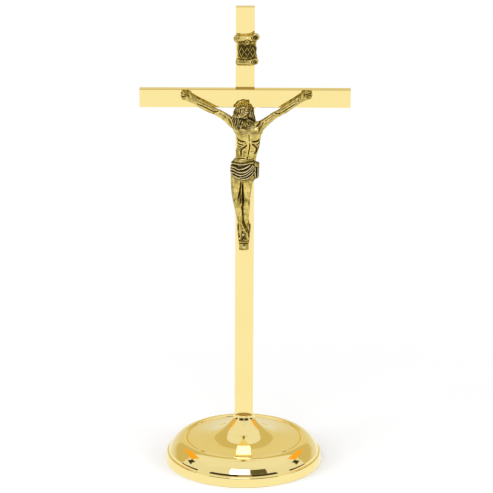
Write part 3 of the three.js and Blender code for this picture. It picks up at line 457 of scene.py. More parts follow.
FINGERS = [
    [
        [[-46.6, 2.2, 1.4], [-49.4, 2.8, 1.9], [-50.2, 4, 3], [-48.8, 4.6, 3.8]],
        [[-47.4, 2.2, 2.9], [-50.2, 2.8, 4], [-50.6, 4.2, 5.2], [-48.8, 4.7, 5.6]],
        [[-47.2, 2.2, 4.4], [-49.6, 2.8, 6], [-49.6, 4.1, 7], [-47.8, 4.5, 6.9]],
        [[-46.2, 2.1, 5.4], [-47.8, 2.6, 7.2], [-47.4, 3.8, 8], [-45.8, 4.2, 7.4]],
        [[-42.6, 2.6, 2.6], [-43.6, 3.4, 5.2], [-45.2, 3.9, 6.6], [-46.6, 4.3, 6.2]],
    ],
    [
        [[49, 2.2, 2.2], [51.8, 2.8, 2.9], [52.6, 4, 4], [51.2, 4.6, 4.8]],
        [[49.8, 2.2, 3.8], [52.6, 2.8, 5], [52.9, 4.2, 6.2], [51.2, 4.7, 6.5]],
        [[49.6, 2.2, 5.3], [51.9, 2.8, 7], [51.8, 4.1, 8], [50.1, 4.5, 7.8]],
        [[48.6, 2.1, 6.3], [50, 2.6, 8.1], [49.6, 3.8, 8.8], [48, 4.2, 8.2]],
        [[45, 2.6, 3.4], [45.8, 3.4, 6], [47.4, 3.9, 7.5], [48.8, 4.3, 7.2]],
    ],
]
FINGER_DROP = 1.4
FINGER_RADII = [0.95, 0.9, 0.8, 0.62]
LEGS = [
    [
        [-4.4, 3.8, -57, 3.8, 4.2],
        [-5.9, 4.4, -63, 5.2, 5],
        [-6.4, 5, -70, 4.8, 4.7],
        [-6.4, 5.8, -77, 4.2, 4.1],
        [-6, 6.4, -82.5, 3.7, 3.6],
        [-5.6, 6.3, -86, 3.5, 3.4],
        [-4.6, 5.2, -91, 3.4, 3.4],
        [-3.9, 4.5, -96, 3, 3.1],
        [-3.4, 4.6, -101.5, 2.3, 2.4],
        [-3.1, 4.7, -105, 2, 2.1],
    ],
    [
        [2.6, 3.8, -57, 3.6, 4.2],
        [2.5, 4.4, -63, 4.9, 5],
        [1.8, 4.8, -70, 4.3, 4.6],
        [1.3, 5.4, -77, 3.8, 4],
        [1.1, 5.8, -83, 3.3, 3.5],
        [1.1, 5.5, -87, 3.2, 3.3],
        [0.9, 4.4, -92, 3.1, 3.2],
        [0.8, 3.4, -97, 2.7, 2.8],
        [0.8, 3, -102, 2.1, 2.3],
        [0.8, 3.2, -106, 1.9, 2],
    ],
]
FEET = [
    [
        [-3.1, 4.7, -104, 2, 2.2],
        [-2.5, 5.1, -108, 2.5, 2.1],
        [-1.4, 5.7, -112, 3, 1.8],
        [-0.6, 6.3, -115.6, 3.1, 1.3],
        [-0.3, 6.6, -117.2, 2.8, 0.9],
    ],
    [
        [0.8, 3, -105, 1.9, 2],
        [1.9, 3.3, -109, 1.9, 1.9],
        [2.4, 3.8, -113, 1.8, 1.6],
        [2.5, 4.3, -116.6, 1.8, 1],
    ],
]

# Muscles and bones, each with its place, its half-sizes and how softly it joins
SWELLS = [
    [[-2, 8.4, -27.6], [5, 2.9, 4.6], 1.6],
    [[7.8, 8.4, -27.9], [5, 2.9, 4.6], 1.6],
    [[-5.4, 7, -24], [3.4, 2.6, 3.4], 2],
    [[11, 7, -24.6], [3.4, 2.6, 3.4], 2],
    [[-8.8, 5.8, -18.6], [3.4, 3.3, 3.2], 1.6],
    [[13, 5.8, -20], [3.2, 3.3, 3.2], 1.6],
    [[-2.2, 8.4, -35.4], [4.2, 2.2, 3.4], 1.4],
    [[8.2, 8.4, -35.6], [4, 2.2, 3.4], 1.4],
    [[0.6, 7.4, -40], [2.4, 1.9, 4.4], 1],
    [[5.6, 7.4, -39.6], [2.9, 2, 4.6], 1],
    [[-1.6, 6.2, -49.3], [3.2, 1.5, 1.5], 0.9],
    [[3.6, 6.4, -47.8], [2.6, 1.5, 1.6], 0.9],
    [[-5.8, 9.2, -83.6], [2.3, 1.5, 2.7], 1.2],
    [[1.1, 8.6, -84.6], [2, 1.4, 2.5], 1.2],
    [[-6.6, 7.6, -71], [3.2, 3, 6.5], 2],
    [[2, 7.4, -71], [3, 2.8, 6.5], 2],
    [[-24, 3.8, -10.8], [1.5, 1.3, 1.2], 0.8],
    [[27.6, 3.8, -11.8], [1.5, 1.3, 1.2], 0.8],
    [[-1.4, 3, -92], [2.6, 2.4, 12], 1.2],
    [[-2.2, 4, -78], [3.4, 3.6, 13], 1.6],
]

# Grooves and ridges on the front: points across and up, width, depth and how far out they begin
BODY_LINES = [
    [[[-6.9, -28.6], [-5.4, -31.4], [-2.4, -32.7], [1.6, -32.9]], 0.6, 1.15, 6],
    [[[4.6, -32.9], [7.4, -32.9], [10.2, -32.5], [12.2, -30.8]], 0.6, 1.15, 6],
    [[[-6.8, -33.3], [-4.2, -33.9], [-1.2, -34.3]], 0.45, -0.35, 6],
    [[[6, -34.2], [9, -34.1], [11.4, -32.9]], 0.45, -0.35, 6],
    [[[3.1, -25.6], [3.4, -29.6], [3.6, -33.4]], 0.55, 0.6, 6],
    [[[3.6, -32.4], [3.9, -37], [3.2, -41.5], [2.5, -45.6]], 0.55, 1.1, 5],
    [[[1.9, -45.8], [1.8, -51]], 0.5, 1.2, 5],
    [[[2.8, -34.3], [0.7, -36.9], [-1.6, -38.9], [-2.9, -41], [-3, -44.4],
      [-3.4, -48]], 0.7, 1.5, 4],
    [[[4.4, -34.2], [6.8, -35.6], [8.8, -38.1], [9.4, -40.6], [8.6, -43],
      [6.4, -44.8]], 0.85, 1.7, 4],
    [[[2, -33.6], [0, -35.6], [-2.4, -37.8], [-3.9, -40.2]], 0.5, -0.5, 4],
    [[[5, -33.5], [7.6, -34.5], [9.8, -36.9], [10.7, -40]], 0.5, -0.5, 4],
    [[[-7, -34], [-3.6, -35.3], [-0.8, -35.9]], 0.45, 1.3, 4],
    [[[-7, -35.9], [-4, -37.2], [-1.8, -37.9]], 0.45, 1.3, 4],
    [[[-6.8, -37.7], [-4.4, -38.9], [-2.6, -39.8]], 0.45, 1.2, 4],
    [[[-6.6, -39.6], [-5, -40.6], [-3.6, -41.4]], 0.4, 1, 4],
    [[[8.6, -36.3], [10.6, -35], [12.8, -33.2]], 0.45, 1.3, 4],
    [[[9.4, -38.1], [11, -36.9], [12.6, -35.3]], 0.45, 1.3, 4],
    [[[10, -40.1], [11.2, -38.9], [12.4, -37.6]], 0.45, 1.1, 4],
    [[[-7.2, -50.8], [-7, -49.2], [-5.2, -48.2], [-2, -47.9], [1.4, -48.2]], 0.45, 1, 4],
    [[[2.2, -49.4], [4.8, -49], [7.6, -48.2]], 0.45, 1, 4],
    [[[-8.4, -51.8], [-3, -51.2], [1.3, -50.8], [5, -50.4], [8.6, -50]], 0.7, 1.3, 3],
    [[[-2, -41.4], [0.2, -42.2], [2.6, -42]], 0.5, 0.35, 5],
    [[[3.9, -41], [6, -41.6], [8.2, -41]], 0.5, 0.35, 5],
    [[[-1.2, -37.8], [1, -38.6], [3.2, -38.2]], 0.5, 0.3, 5],
    [[[4.2, -37.6], [6.2, -38.2], [8, -37.6]], 0.5, 0.3, 5],
    [[[1.6, -22.6], [-3, -22.6], [-7.4, -21.2]], 0.7, -0.5, 4],
    [[[4.4, -23.2], [8.4, -23.2], [12, -22.2]], 0.7, -0.5, 4],
    [[[-13.4, -14.2], [-11.4, -17.4], [-10.4, -21.6]], 0.5, 0.9, 3],
    [[[-11, -13.6], [-9.2, -17], [-8.2, -22.4]], 0.5, 0.8, 3],
    [[[15.4, -16.8], [13.6, -19.4], [11.6, -22.4], [10.8, -26]], 0.5, 0.8, 3],
    [[[12.4, -16.6], [10.8, -18.8], [8.6, -21.4]], 0.5, 0.8, 3],
    [[[-40.6, -1.8], [-36, -4.1], [-31.6, -6.1], [-27.4, -8.3], [-24.1, -9.6], [-21.6, -9.2],
      [-20.6, -8.2]], 0.5, 1.1, 2.5],
    [[[-39, -0.8], [-34, -2.9], [-28.6, -5.4], [-24.4, -7.4]], 0.35, 0.5, 2.5],
    [[[-23.6, -8.6], [-24.6, -10.4], [-25.8, -11.4]], 0.4, 0.6, 2.5],
    [[[-20.6, -10.2], [-16.4, -12.8], [-12.6, -15.6]], 0.5, 0.5, 2.5],
    [[[42.6, -1.4], [38.6, -4], [34.4, -6.7], [30.4, -9.4], [27, -11], [24.6, -10.6],
      [23.8, -9.6]], 0.5, 1.1, 2.5],
    [[[41, -0.4], [36.6, -3.2], [31.4, -6.4], [27.6, -8.6]], 0.35, 0.5, 2.5],
    [[[27, -9], [27.6, -10.8], [28.6, -12.2]], 0.4, 0.6, 2.5],
    [[[23.6, -11.6], [19.6, -14.4], [15.6, -17.4]], 0.5, 0.5, 2.5],
    [[[-42.6, -0.6], [-44.6, 1.6], [-46, 4.8]], 0.4, 0.4, 2.5],
    [[[44.4, -0.2], [46.8, 2.4], [48.2, 5.6]], 0.4, 0.4, 2.5],
    [[[-2.9, -64.5], [-3.4, -71], [-4.8, -78.8], [-5.9, -85]], 0.65, 0.7, 3],
    [[[-2.1, -68], [-1.8, -73], [-1.3, -79.6], [0, -86.8]], 0.6, 0.55, 3],
    [[[-3.8, -75], [-5, -80.6], [-6, -85.4]], 1.15, 0.35, 4],
    [[[-1.7, -76], [-1.1, -82], [-0.4, -86.8]], 0.8, 0.1, 4],
    [[[-2.5, -67], [-2.6, -74], [-2.8, -81], [-2.4, -88]], 0.42, -1, 3],
    [[[-2.2, -87.4], [-1.9, -91], [-1.6, -95], [-1.4, -100], [-0.9, -104]], 0.8, 0.35, 3],
    [[[-7.6, -80], [-8, -83.6], [-7.2, -87]], 0.5, 0.45, 5],
    [[[-3.8, -80.4], [-3.5, -83.8], [-4.2, -87]], 0.5, 0.45, 5],
    [[[3.2, -81.4], [3.5, -84.8], [2.6, -88]], 0.5, 0.45, 5],
    [[[-5.4, -87.4], [-4.6, -93], [-3.9, -100]], 0.5, -0.35, 5],
    [[[1.2, -88.4], [1.1, -94], [0.9, -101]], 0.5, -0.35, 4],
    [[[-3.6, -65], [-5.4, -71], [-6.2, -78]], 0.7, 0.3, 5],
    [[[1, -65], [2.2, -71], [2.4, -78]], 0.7, 0.3, 5],
]

TOES = [
    [[-2.7, 6.6, -117.4], [0.62, 0.8, 1.25]],
    [[-1.5, 6.8, -117.8], [0.62, 0.8, 1.3]],
    [[-0.3, 6.9, -117.9], [0.64, 0.85, 1.3]],
    [[0.9, 6.9, -117.9], [0.66, 0.85, 1.35]],
    [[2.3, 6.7, -117.5], [0.85, 0.95, 1.5]],
]
UNDER_TOES = [
    [[-1.4, 4.9, -117.8], [0.85, 0.8, 1.2]],
    [[0, 5, -118], [0.65, 0.7, 1.1]],
    [[1.2, 5, -118], [0.62, 0.7, 1]],
    [[2.3, 4.8, -117.8], [0.6, 0.7, 1]],
    [[3.2, 4.6, -117.4], [0.55, 0.7, 1]],
]
NAIL_PITS = [[-42.3, -0.7], [43.6, 0.2]]
NAIL_PIT_OUT = 4.4
NAIL_PIT_HALVES = [1.5, 1.6, 1.5]
FOOT_PIT = [-1.1, 8.3, -112.6]
FOOT_PIT_HALVES = [2.1, 1.5, 2.1]
TOE_BLEND = 0.35

# Lines on the feet, the ledge and the tab: points across and up, width, depth and how far out they begin
FOOT_LINES = [
    [[[-1.8, -101.6], [0.1, -105.4], [2, -109.2], [3.2, -112.8], [4, -117]], 0.75, 1.7, 1],
    [[[-2.8, -102.6], [-1.2, -106.4], [0.7, -110], [1.9, -113.4], [2.6, -117.2]], 0.55, -0.7, 3],
    [[[-1.9, -109.4], [-1, -113], [-0.6, -116.6]], 1.2, 1, 5],
    [[[-4.9, -104.6], [-4.6, -109], [-4.4, -113], [-3.9, -117]], 0.5, 1.6, 1.5],
    [[[-4.6, -118.8], [-1, -118.9], [3.6, -118.8]], 0.45, 1.2, 2],
    [[[-4.4, -119.5], [3.6, -119.5]], 0.4, -0.6, 2],
    [[[2.6, -104.6], [3.3, -108], [3.8, -111]], 0.4, -0.5, 2],
]

# The foot block and the tab under it
BLOCK_ACROSS = -0.5
BLOCK_HALF = 5.5
BLOCK_TAPER = 1.2
BLOCK_TOP = -108.4
BLOCK_FOOT = -120.3
BLOCK_TOP_OUT = 0.4
BLOCK_FOOT_OUT = 4.6
LEDGE_RISE = 1.0
LEDGE_OUT = 0.7
WEDGE_SLANT = 0.82
TAB_HALF = 3.9
TAB_LENGTH = 9.5
TAB_OUT = -2.4
TAB_ROUND = 1.4
TAB_OVERLAP = 0.3


def block_clay(clay):
    """A wedge behind the feet with a thin ledge along its foot, and the rounded tab below."""
    low = [BLOCK_ACROSS - BLOCK_HALF, UPRIGHT_OUT, BLOCK_FOOT - TAB_LENGTH]
    high = [BLOCK_ACROSS + BLOCK_HALF, BLOCK_FOOT_OUT, BLOCK_TOP]
    cuts, x, y, z = clay.window(low, high)
    across = np.abs(x - BLOCK_ACROSS)
    share = (BLOCK_TOP - z) / (BLOCK_TOP - BLOCK_FOOT)
    face = BLOCK_TOP_OUT + (BLOCK_FOOT_OUT - BLOCK_TOP_OUT) * share
    sides = across - BLOCK_HALF + BLOCK_TAPER * np.clip(share, 0, 1)
    middle = (BLOCK_TOP + BLOCK_FOOT) / 2
    ends = np.abs(z - middle) - (BLOCK_TOP - BLOCK_FOOT) / 2
    wedge = np.maximum(np.maximum(sides, (y - face) * WEDGE_SLANT), ends)
    ledge_ends = np.abs(z - BLOCK_FOOT - LEDGE_RISE / 2) - LEDGE_RISE / 2
    ledge = np.maximum(np.maximum(sides, y - BLOCK_FOOT_OUT - LEDGE_OUT), ledge_ends)
    tab_middle = BLOCK_FOOT - TAB_LENGTH / 2 + TAB_OVERLAP
    corner = np.hypot(
        np.maximum(across - TAB_HALF + TAB_ROUND, 0),
        np.maximum(np.abs(z - tab_middle) - TAB_LENGTH / 2 + TAB_ROUND, 0),
    )
    tab = np.maximum(corner - TAB_ROUND, y - TAB_OUT)
    clay.join(cuts, np.minimum(wedge, np.minimum(ledge, tab)), 0.5)


def keep_off_bars(clay):
    """Cuts the clay back from the crossbar and the upright."""
    x, y, z = (clay.axes[0][:, None, None], clay.axes[1][None, :, None], clay.axes[2][None, None, :])
    half = BAR_HALF + REST_GAP
    across = np.maximum(y - REST_GAP, np.abs(z) - half)
    along = y - UPRIGHT_OUT - BAR_TOUCH
    solid = np.minimum(across, along + 0 * x)
    clay.field = np.maximum(clay.field, -solid.astype(np.float32))


def body_clay():
    clay = Clay(*BODY_BLOCK, BODY_STEP)
    clay.limb(TORSO, 1.0, 4)
    for limbs, blend in ((ARMS, 2.2), (LEGS, 1.6)):
        for limb in limbs:
            clay.limb(limb, blend, 3)
    for swell in SWELLS:
        clay.egg(*swell)
    for line in BODY_LINES:
        clay.line(*line)
    for finger in FINGERS[0] + FINGERS[1]:
        stations = [[p[0], p[1], p[2] - FINGER_DROP, r, r] for p, r in zip(finger, FINGER_RADII)]
        clay.limb(stations, 0.3, 3)
    for across, up in NAIL_PITS:
        clay.egg([across, NAIL_PIT_OUT, up], NAIL_PIT_HALVES, 0.6, take=True)
    block_clay(clay)
    for foot, blend, toes in ((FEET[1], 0.6, UNDER_TOES), (FEET[0], 0.5, TOES)):
        clay.limb(foot, blend, 4)
        for place, halves in toes:
            clay.egg(place, halves, TOE_BLEND)
    clay.egg(FOOT_PIT, FOOT_PIT_HALVES, 0.3, take=True)
    for line in FOOT_LINES:
        clay.line(*line, 0.12)
    keep_off_bars(clay)
    return clay


# The head: where its skull is, how it bows and leans, and the pieces on it in its own axes
SKULL = [-1.5, 9.2, -11.3]
HEAD_BOW = 12.0
HEAD_LEAN = -20.0
HEAD_TURN = -4.0
SKULL_PLACE = [0.0, -0.6, 1.6]
SKULL_HALVES = [4.25, 6.1, 5.3]
FACE = [
    [SKULL_PLACE, SKULL_HALVES, 0.5],
    [[0, 2.2, -2.8], [3.8, 4.2, 5.6], 1.6],
    [[0, 4.4, -6.6], [2.1, 2, 1.7], 1.2],
    [[2.5, 4.4, -2.6], [1.5, 1.5, 1.3], 1],
    [[-2.5, 4.4, -2.6], [1.5, 1.5, 1.3], 1],
    [[0, 5.6, 1], [3.2, 1, 0.9], 0.8],
    [[0, -2.8, -3], [4.9, 4.2, 6.4], 1],
]
SOCKETS = [[[1.95, 7.3, -0.6], [1.5, 1.6, 1.0]], [[-1.95, 7.3, -0.6], [1.5, 1.6, 1.0]]]
FEATURES = [
    [[1.9, 5.2, -0.7], [1.15, 0.95, 0.8], 0.2],
    [[-1.9, 5.2, -0.7], [1.15, 0.95, 0.8], 0.2],
    [[1.95, 6.1, 0.7], [1.6, 0.6, 0.4], 0.4],
    [[-1.95, 6.1, 0.7], [1.6, 0.6, 0.4], 0.4],
    [[0, 7.7, -2.9], [0.85, 0.85, 0.7], 0.4],
    [[0.75, 7, -3.1], [0.5, 0.6, 0.5], 0.3],
    [[-0.75, 7, -3.1], [0.5, 0.6, 0.5], 0.3],
    [[0, 6.5, -4.7], [1.4, 0.65, 0.35], 0.15],
    [[0, 6.3, -5.4], [1.1, 0.7, 0.42], 0.15],
]
FACE_LIMBS = [
    [[[0, 6.1, 0.6, 0.6, 0.6], [0, 6.9, -1.2, 0.6, 0.7], [0, 7.6, -2.7, 0.75, 0.8]], 0.4, 0],
    [[[0.1, 7, -4, 0.5, 0.5], [1.4, 6.5, -4.6, 0.6, 0.6], [2.5, 5.3, -6.2, 0.45, 0.5]], 0.2, 5],
    [[[-0.1, 7, -4, 0.5, 0.5], [-1.4, 6.5, -4.6, 0.6, 0.6], [-2.5, 5.3, -6.2, 0.45, 0.5]], 0.2, 5],
]
BEARD = [
    [[0, 5.5, -6.4, 1.1, 1], [0.2, 5.2, -8.6, 1.3, 1.1], [0.4, 4.6, -10.9, 0.5, 0.5]],
    [[1.4, 5, -6.2, 1, 1], [1.5, 4.6, -8.4, 1.1, 1], [1.1, 4.3, -10.6, 0.45, 0.5]],
    [[-1.4, 5, -6.2, 1, 1], [-1.5, 4.6, -8.4, 1.1, 1], [-1, 4.3, -10.6, 0.45, 0.5]],
    [[2.7, 3.7, -4.8, 1, 1.1], [2.7, 3.9, -7, 1.1, 1.1], [2.1, 3.9, -9.4, 0.5, 0.5]],
    [[-2.7, 3.7, -4.8, 1, 1.1], [-2.7, 3.9, -7, 1.1, 1.1], [-2.1, 3.9, -9.4, 0.5, 0.5]],
    [[3.7, 2.4, -2, 0.7, 1.2], [3.7, 2.7, -4.6, 0.9, 1.2], [3.2, 3.1, -7.2, 0.5, 0.7]],
    [[-3.7, 2.4, -2, 0.7, 1.2], [-3.7, 2.7, -4.6, 0.9, 1.2], [-3.2, 3.1, -7.2, 0.5, 0.7]],
]

# Locks combed from the top of the head down to the crown, as [half-width, half-depth] along them
CAP_COUNT = 13
CAP_LOCK = [[0.5, 0.5], [1.1, 0.85], [1.45, 1.0], [1.4, 0.9]]
CAP_REACH = [8, 26, 42, 58]
CAP_SWAY = 7.0
NAPE_COUNT = 6
NAPE_FROM = 0.62
NAPE_SPAN = 0.76
NAPE_LOCK = [[1.5, 1.2], [1.7, 1.4], [1.6, 1.3], [0.8, 0.7]]
NAPE_REACH = [[1, 2], [1.05, -2], [1, -6], [0.9, -10]]
NECK = [[2.4, 5, -24, 3.8, 3.4], [1.8, 6.4, -19, 3.3, 3], [1.2, 8, -14, 3.2, 3.2]]

# Long locks beside the face and on the shoulders, across, out and up
LONG_LOCKS = [
    [[-4.8, 9.4, -8.6, 1.2, 1.6], [-6.6, 9.6, -12, 1.6, 1.9], [-7.6, 9.2, -16, 1.6, 1.8],
     [-7.4, 9, -20.4, 1.2, 1.4], [-6.2, 9.2, -24.4, 0.5, 0.6]],
    [[-3.8, 11.2, -9.8, 1, 1.3], [-4.9, 11.6, -13.4, 1.3, 1.5], [-5.3, 11.2, -17.6, 1.2, 1.4],
     [-5, 10.8, -21.6, 0.9, 1.1], [-4, 10.6, -25.2, 0.4, 0.5]],
    [[-5.2, 7.2, -8.2, 1.2, 1.7], [-7.6, 7.2, -11.8, 1.7, 2], [-9, 7, -15.2, 1.5, 1.8],
     [-9.3, 7, -18.6, 1.1, 1.3], [-8.4, 7.4, -22.6, 0.5, 0.6]],
    [[-3, 12, -12.4, 0.8, 1], [-3.4, 12.4, -15.6, 1, 1.2], [-3.4, 11.8, -19.4, 0.9, 1],
     [-2.8, 11.4, -23.2, 0.4, 0.4]],
    [[3.9, 8.6, -8.2, 1.2, 1.6], [5.4, 8.4, -12, 1.5, 1.7], [6.1, 8, -15.8, 1.3, 1.5],
     [7.2, 8.2, -19.2, 1, 1.1], [8.6, 8.6, -22.4, 0.45, 0.5]],
    [[4.1, 6.4, -7.6, 1.1, 1.6], [5.9, 6.2, -11.4, 1.4, 1.7], [6.9, 6, -15.2, 1.3, 1.5],
     [8.6, 6.4, -18.4, 0.9, 1], [10.4, 7, -21.4, 0.45, 0.5]],
    [[3.2, 10.4, -10.4, 0.9, 1.2], [4.2, 10.2, -13.6, 1, 1.2], [4.5, 9.6, -17, 0.9, 1],
     [5.6, 9.2, -20.4, 0.4, 0.4]],
]

# Dark gaps between the hair, the face and the chest: points across and up, width and depth
HEAD_LINES = [
    [[[2.4, -12.2], [4.4, -13.6], [6.8, -15.8], [9.4, -18.8]], 0.8, 2],
    [[[-3.4, -4.6], [-3.9, -7.4], [-4.4, -10.4]], 0.4, 1.1],
    [[[1.8, -5], [2.2, -7.6], [2, -9.4]], 0.35, 0.8],
    [[[-2.6, -13.4], [-3.4, -16.4], [-3.6, -20], [-3, -23.4]], 0.55, 1.6],
    [[[-6.2, -12], [-6.6, -16], [-6.2, -20]], 0.5, 1.2],
    [[[2.9, -15.4], [3.1, -18.6], [2.6, -22]], 0.5, 1.2],
]

# The crown of three strands, in the head's own axes, and its thorns
CROWN_HALVES = [5.1, 6.9]
CROWN_BACK = 0.4
CROWN_RISE = 4.1
CROWN_THICK = 0.74
CROWN_WIND = 1.05
CROWN_TURNS = 6
CROWN_STEPS = 96
THORN_COUNT = 15
THORN_SHIFT = 0.3
THORN_LENGTH = 1.9
THORN_SWEEP = 0.25
THORN_LIFTS = [1.5, -0.7, 0.5]


def head_axes():
    return turned_axes(-HEAD_BOW, HEAD_LEAN, HEAD_TURN)


def on_head(place):
    """A place in the head's own axes, as across, out and up."""
    x, forward, z = place[:3]
    moved = head_axes() @ np.array([x, forward, z])
    return [SKULL[0] + moved[0], SKULL[1] + moved[1], SKULL[2] + moved[2]]


def head_egg(clay, place, halves, blend, take=False):
    clay.egg(on_head(place), halves, blend, -HEAD_BOW, HEAD_LEAN, HEAD_TURN, take)


def head_limb(clay, stations, blend, strands=0, depth=0.0, twist=0.0, steps=3):
    clay.limb([[*on_head(s), *s[3:5]] for s in stations], blend, steps, strands, depth, twist)


def crown(clay):
    """Three strands wound round each other, with thorns between them."""
    for strand in range(3):
        phase = 2 * math.pi * strand / 3
        path = []
        for i in range(CROWN_STEPS + 1):
            turn = 2 * math.pi * i / CROWN_STEPS
            wind = CROWN_TURNS * turn + phase
            out = CROWN_WIND * math.cos(wind)
            across = (CROWN_HALVES[0] + out) * math.cos(turn)
            forward = (CROWN_HALVES[1] + out) * math.sin(turn) - CROWN_BACK
            up = CROWN_RISE + CROWN_WIND * math.sin(wind)
            path.append([across, forward, up, CROWN_THICK, CROWN_THICK])
        quarter = CROWN_STEPS // 4
        for k in range(4):
            head_limb(clay, path[k * quarter : (k + 1) * quarter + 1], 0.2, steps=1)
    for i in range(THORN_COUNT):
        turn = 2 * math.pi * (i + THORN_SHIFT) / THORN_COUNT
        across = CROWN_HALVES[0] * math.cos(turn)
        forward = CROWN_HALVES[1] * math.sin(turn) - CROWN_BACK
        tip = [
            across + THORN_LENGTH * math.cos(turn + THORN_SWEEP),
            forward + THORN_LENGTH * math.sin(turn + THORN_SWEEP),
            CROWN_RISE + THORN_LIFTS[i % 3],
        ]
        head_limb(clay, [[across, forward, CROWN_RISE, 0.55, 0.55], [*tip, 0.2, 0.2]], 0.2, steps=1)


def head_clay():
    clay = Clay(*HEAD_BLOCK, HEAD_STEP)
    for place, halves, blend in FACE:
        head_egg(clay, place, halves, blend)
    for place, halves in SOCKETS:
        head_egg(clay, place, halves, 0.8, take=True)
    for place, halves, blend in FEATURES:
        head_egg(clay, place, halves, blend)
    for stations, blend, strands in FACE_LIMBS:
        head_limb(clay, stations, blend, strands, 0.12)
    for i, stations in enumerate(BEARD):
        head_limb(clay, stations, 0.25, 7, 0.16, 0.8 if i % 2 else -0.8)
    clay.limb(NECK, 0.8)
    for i in range(CAP_COUNT):
        turn = 2 * math.pi * (i + 0.5) / CAP_COUNT
        stations = []
        for k, (reach, (width, thick)) in enumerate(zip(CAP_REACH, CAP_LOCK)):
            sway = turn + math.radians(CAP_SWAY) * math.sin(2.1 * i + 1.3 * k)
            down = math.radians(reach)
            round_it = [math.sin(sway) * math.sin(down), math.cos(sway) * math.sin(down), math.cos(down)]
            place = [SKULL_PLACE[n] + SKULL_HALVES[n] * round_it[n] for n in range(3)]
            stations.append([*place, width, thick])
        head_limb(clay, stations, 0.2, 4, 0.18, 0.7 if i % 2 else -0.5)
    for i in range(NAPE_COUNT):
        turn = math.pi * (NAPE_FROM + NAPE_SPAN * i / (NAPE_COUNT - 1))
        stations = []
        for (spread, height), (width, thick) in zip(NAPE_REACH, NAPE_LOCK):
            across = spread * (SKULL_HALVES[0] + 0.4) * math.sin(turn)
            back = SKULL_PLACE[1] + spread * SKULL_HALVES[1] * math.cos(turn)
            stations.append([across, back, height, width, thick])
        head_limb(clay, stations, 0.2, 5, 0.2, 1.4 if i % 2 else -1.2)
    for i, lock in enumerate(LONG_LOCKS):
        clay.limb(lock, 0.15, 4, 5, 0.26, 3.2 if i % 2 else -3.0)
    for line, width, depth in HEAD_LINES:
        clay.line(line, width, depth, 6.0, 0.15)
    crown(clay)
    keep_off_bars(clay)
    return clay


# The cloth, in [across, out, up, half-width, half-depth]
CLOTH = [
    [0.4, 4, -51.9, 8.6, 4.2],
    [0.2, 4.2, -53, 10, 5.5],
    [-0.2, 4.4, -55.4, 10.8, 6.4],
    [-0.6, 4.6, -59, 10.9, 6.6],
    [-0.9, 4.8, -62.4, 10.2, 6.4],
    [-1.3, 5, -63.6, 8.2, 5.8],
    [-1.3, 5, -64.7, 5.8, 4.6],
]

# The folds that hang from the knot at the hip: points, width and height
FOLDS = [
    [[[-12, -52.6], [-8.6, -52], [-4.2, -52.2], [0.4, -52], [4.2, -51.2], [8.6, -51.8]], 0.5, 1.2],
    [[[-12.4, -55.2], [-8, -55], [-5.2, -56.2], [-1.7, -55.7], [1.6, -54.3],
      [5.4, -52]], 0.6, 1.15],
    [[[-12.4, -57.2], [-8.4, -57], [-6.2, -58.3], [-1.9, -58.6], [1, -57.9], [4.4, -55.4],
      [8, -52.2]], 0.62, 1.25],
    [[[-12, -59.2], [-8.6, -59.7], [-4.4, -61], [-1, -60.5], [2.2, -58.8], [5.4, -56.4],
      [9, -53]], 0.62, 1.25],
    [[[-11.6, -61], [-8.6, -61.7], [-5, -63], [-1.4, -62.7], [2.2, -61], [5.4, -58.6],
      [9.4, -54.2]], 0.6, 1.15],
    [[[-11.4, -58.6], [-10.2, -60.6], [-7.6, -62.6], [-4.8, -63.8], [-1.2, -64.2],
      [2.2, -63.7], [5.2, -61.7], [8, -58.6], [9.9, -54.8]], 0.55, 1.2],
]
FOLD_VALLEYS = [
    [[[-12, -53.9], [-8.4, -53.4], [-4.8, -54.2], [-0.6, -53.8], [3, -52.5]], 0.5, 0.75],
    [[[-12.2, -56.2], [-8.2, -56], [-5.6, -57.3], [-1.7, -57.1], [1.4, -56.1],
      [5.4, -53.4]], 0.5, 0.85],
    [[[-12, -58.2], [-8.4, -58.3], [-5.2, -59.8], [-1.5, -59.6], [1.8, -58.3], [5, -55.9],
      [8.4, -52.8]], 0.5, 0.9],
    [[[-11.6, -60.2], [-8.4, -60.7], [-4.6, -62], [-1, -61.6], [2.4, -59.9], [5.4, -57.5],
      [9.2, -53.7]], 0.5, 0.85],
    [[[-10.6, -60.2], [-8, -62], [-4.8, -63], [-1.2, -63.2], [2.2, -62.3], [5.2, -60.2],
      [8.8, -56.2]], 0.5, 0.7],
    [[[-6.8, -54.6], [-4.8, -55.3], [-3, -54.9]], 0.4, 0.5],
    [[[-9.8, -59], [-8, -60.4], [-6.6, -62.4]], 0.4, 0.5],
]
KNOT = [
    [[8.9, 7.4, -53], [1.8, 1.9, 1.9]],
    [[10.2, 6.4, -53.8], [1.4, 1.8, 2]],
]
CLOTH_ENDS = [
    [[9.6, 4.6, -53, 1.9, 1.6], [9.6, 4.6, -58, 1.8, 1.5], [9.4, 4.6, -62, 1.8, 1.5],
     [9.3, 4.6, -63.6, 1.6, 1.3]],
    [[8.9, 6.8, -53.6, 1.2, 1.4], [8.6, 7, -57.4, 1.1, 1.3], [8.4, 6.9, -61.4, 1.2, 1.3],
     [8.5, 6.8, -63.8, 1.3, 1.1], [8.7, 6.6, -64.8, 0.9, 0.8]],
    [[9.9, 6.2, -52.8, 1.1, 1.6], [10.3, 6.1, -57, 1, 1.5], [10.3, 5.9, -61, 1.05, 1.5],
     [10.2, 5.8, -63.4, 1, 1.2], [10.1, 5.8, -64.2, 0.8, 0.9]],
]
END_LINES = [
    [[[9.45, -54.8], [9.5, -58.6], [9.4, -62], [9.4, -64.2]], 0.42, 0.9],
    [[[7.4, -54.6], [7.2, -58.6], [7.1, -62.4]], 0.45, 0.9],
    [[[8.5, -55.4], [8.3, -59.4], [8.3, -63.4]], 0.3, -0.5],
    [[[10.6, -55], [10.7, -59], [10.5, -62.6]], 0.3, -0.5],
]


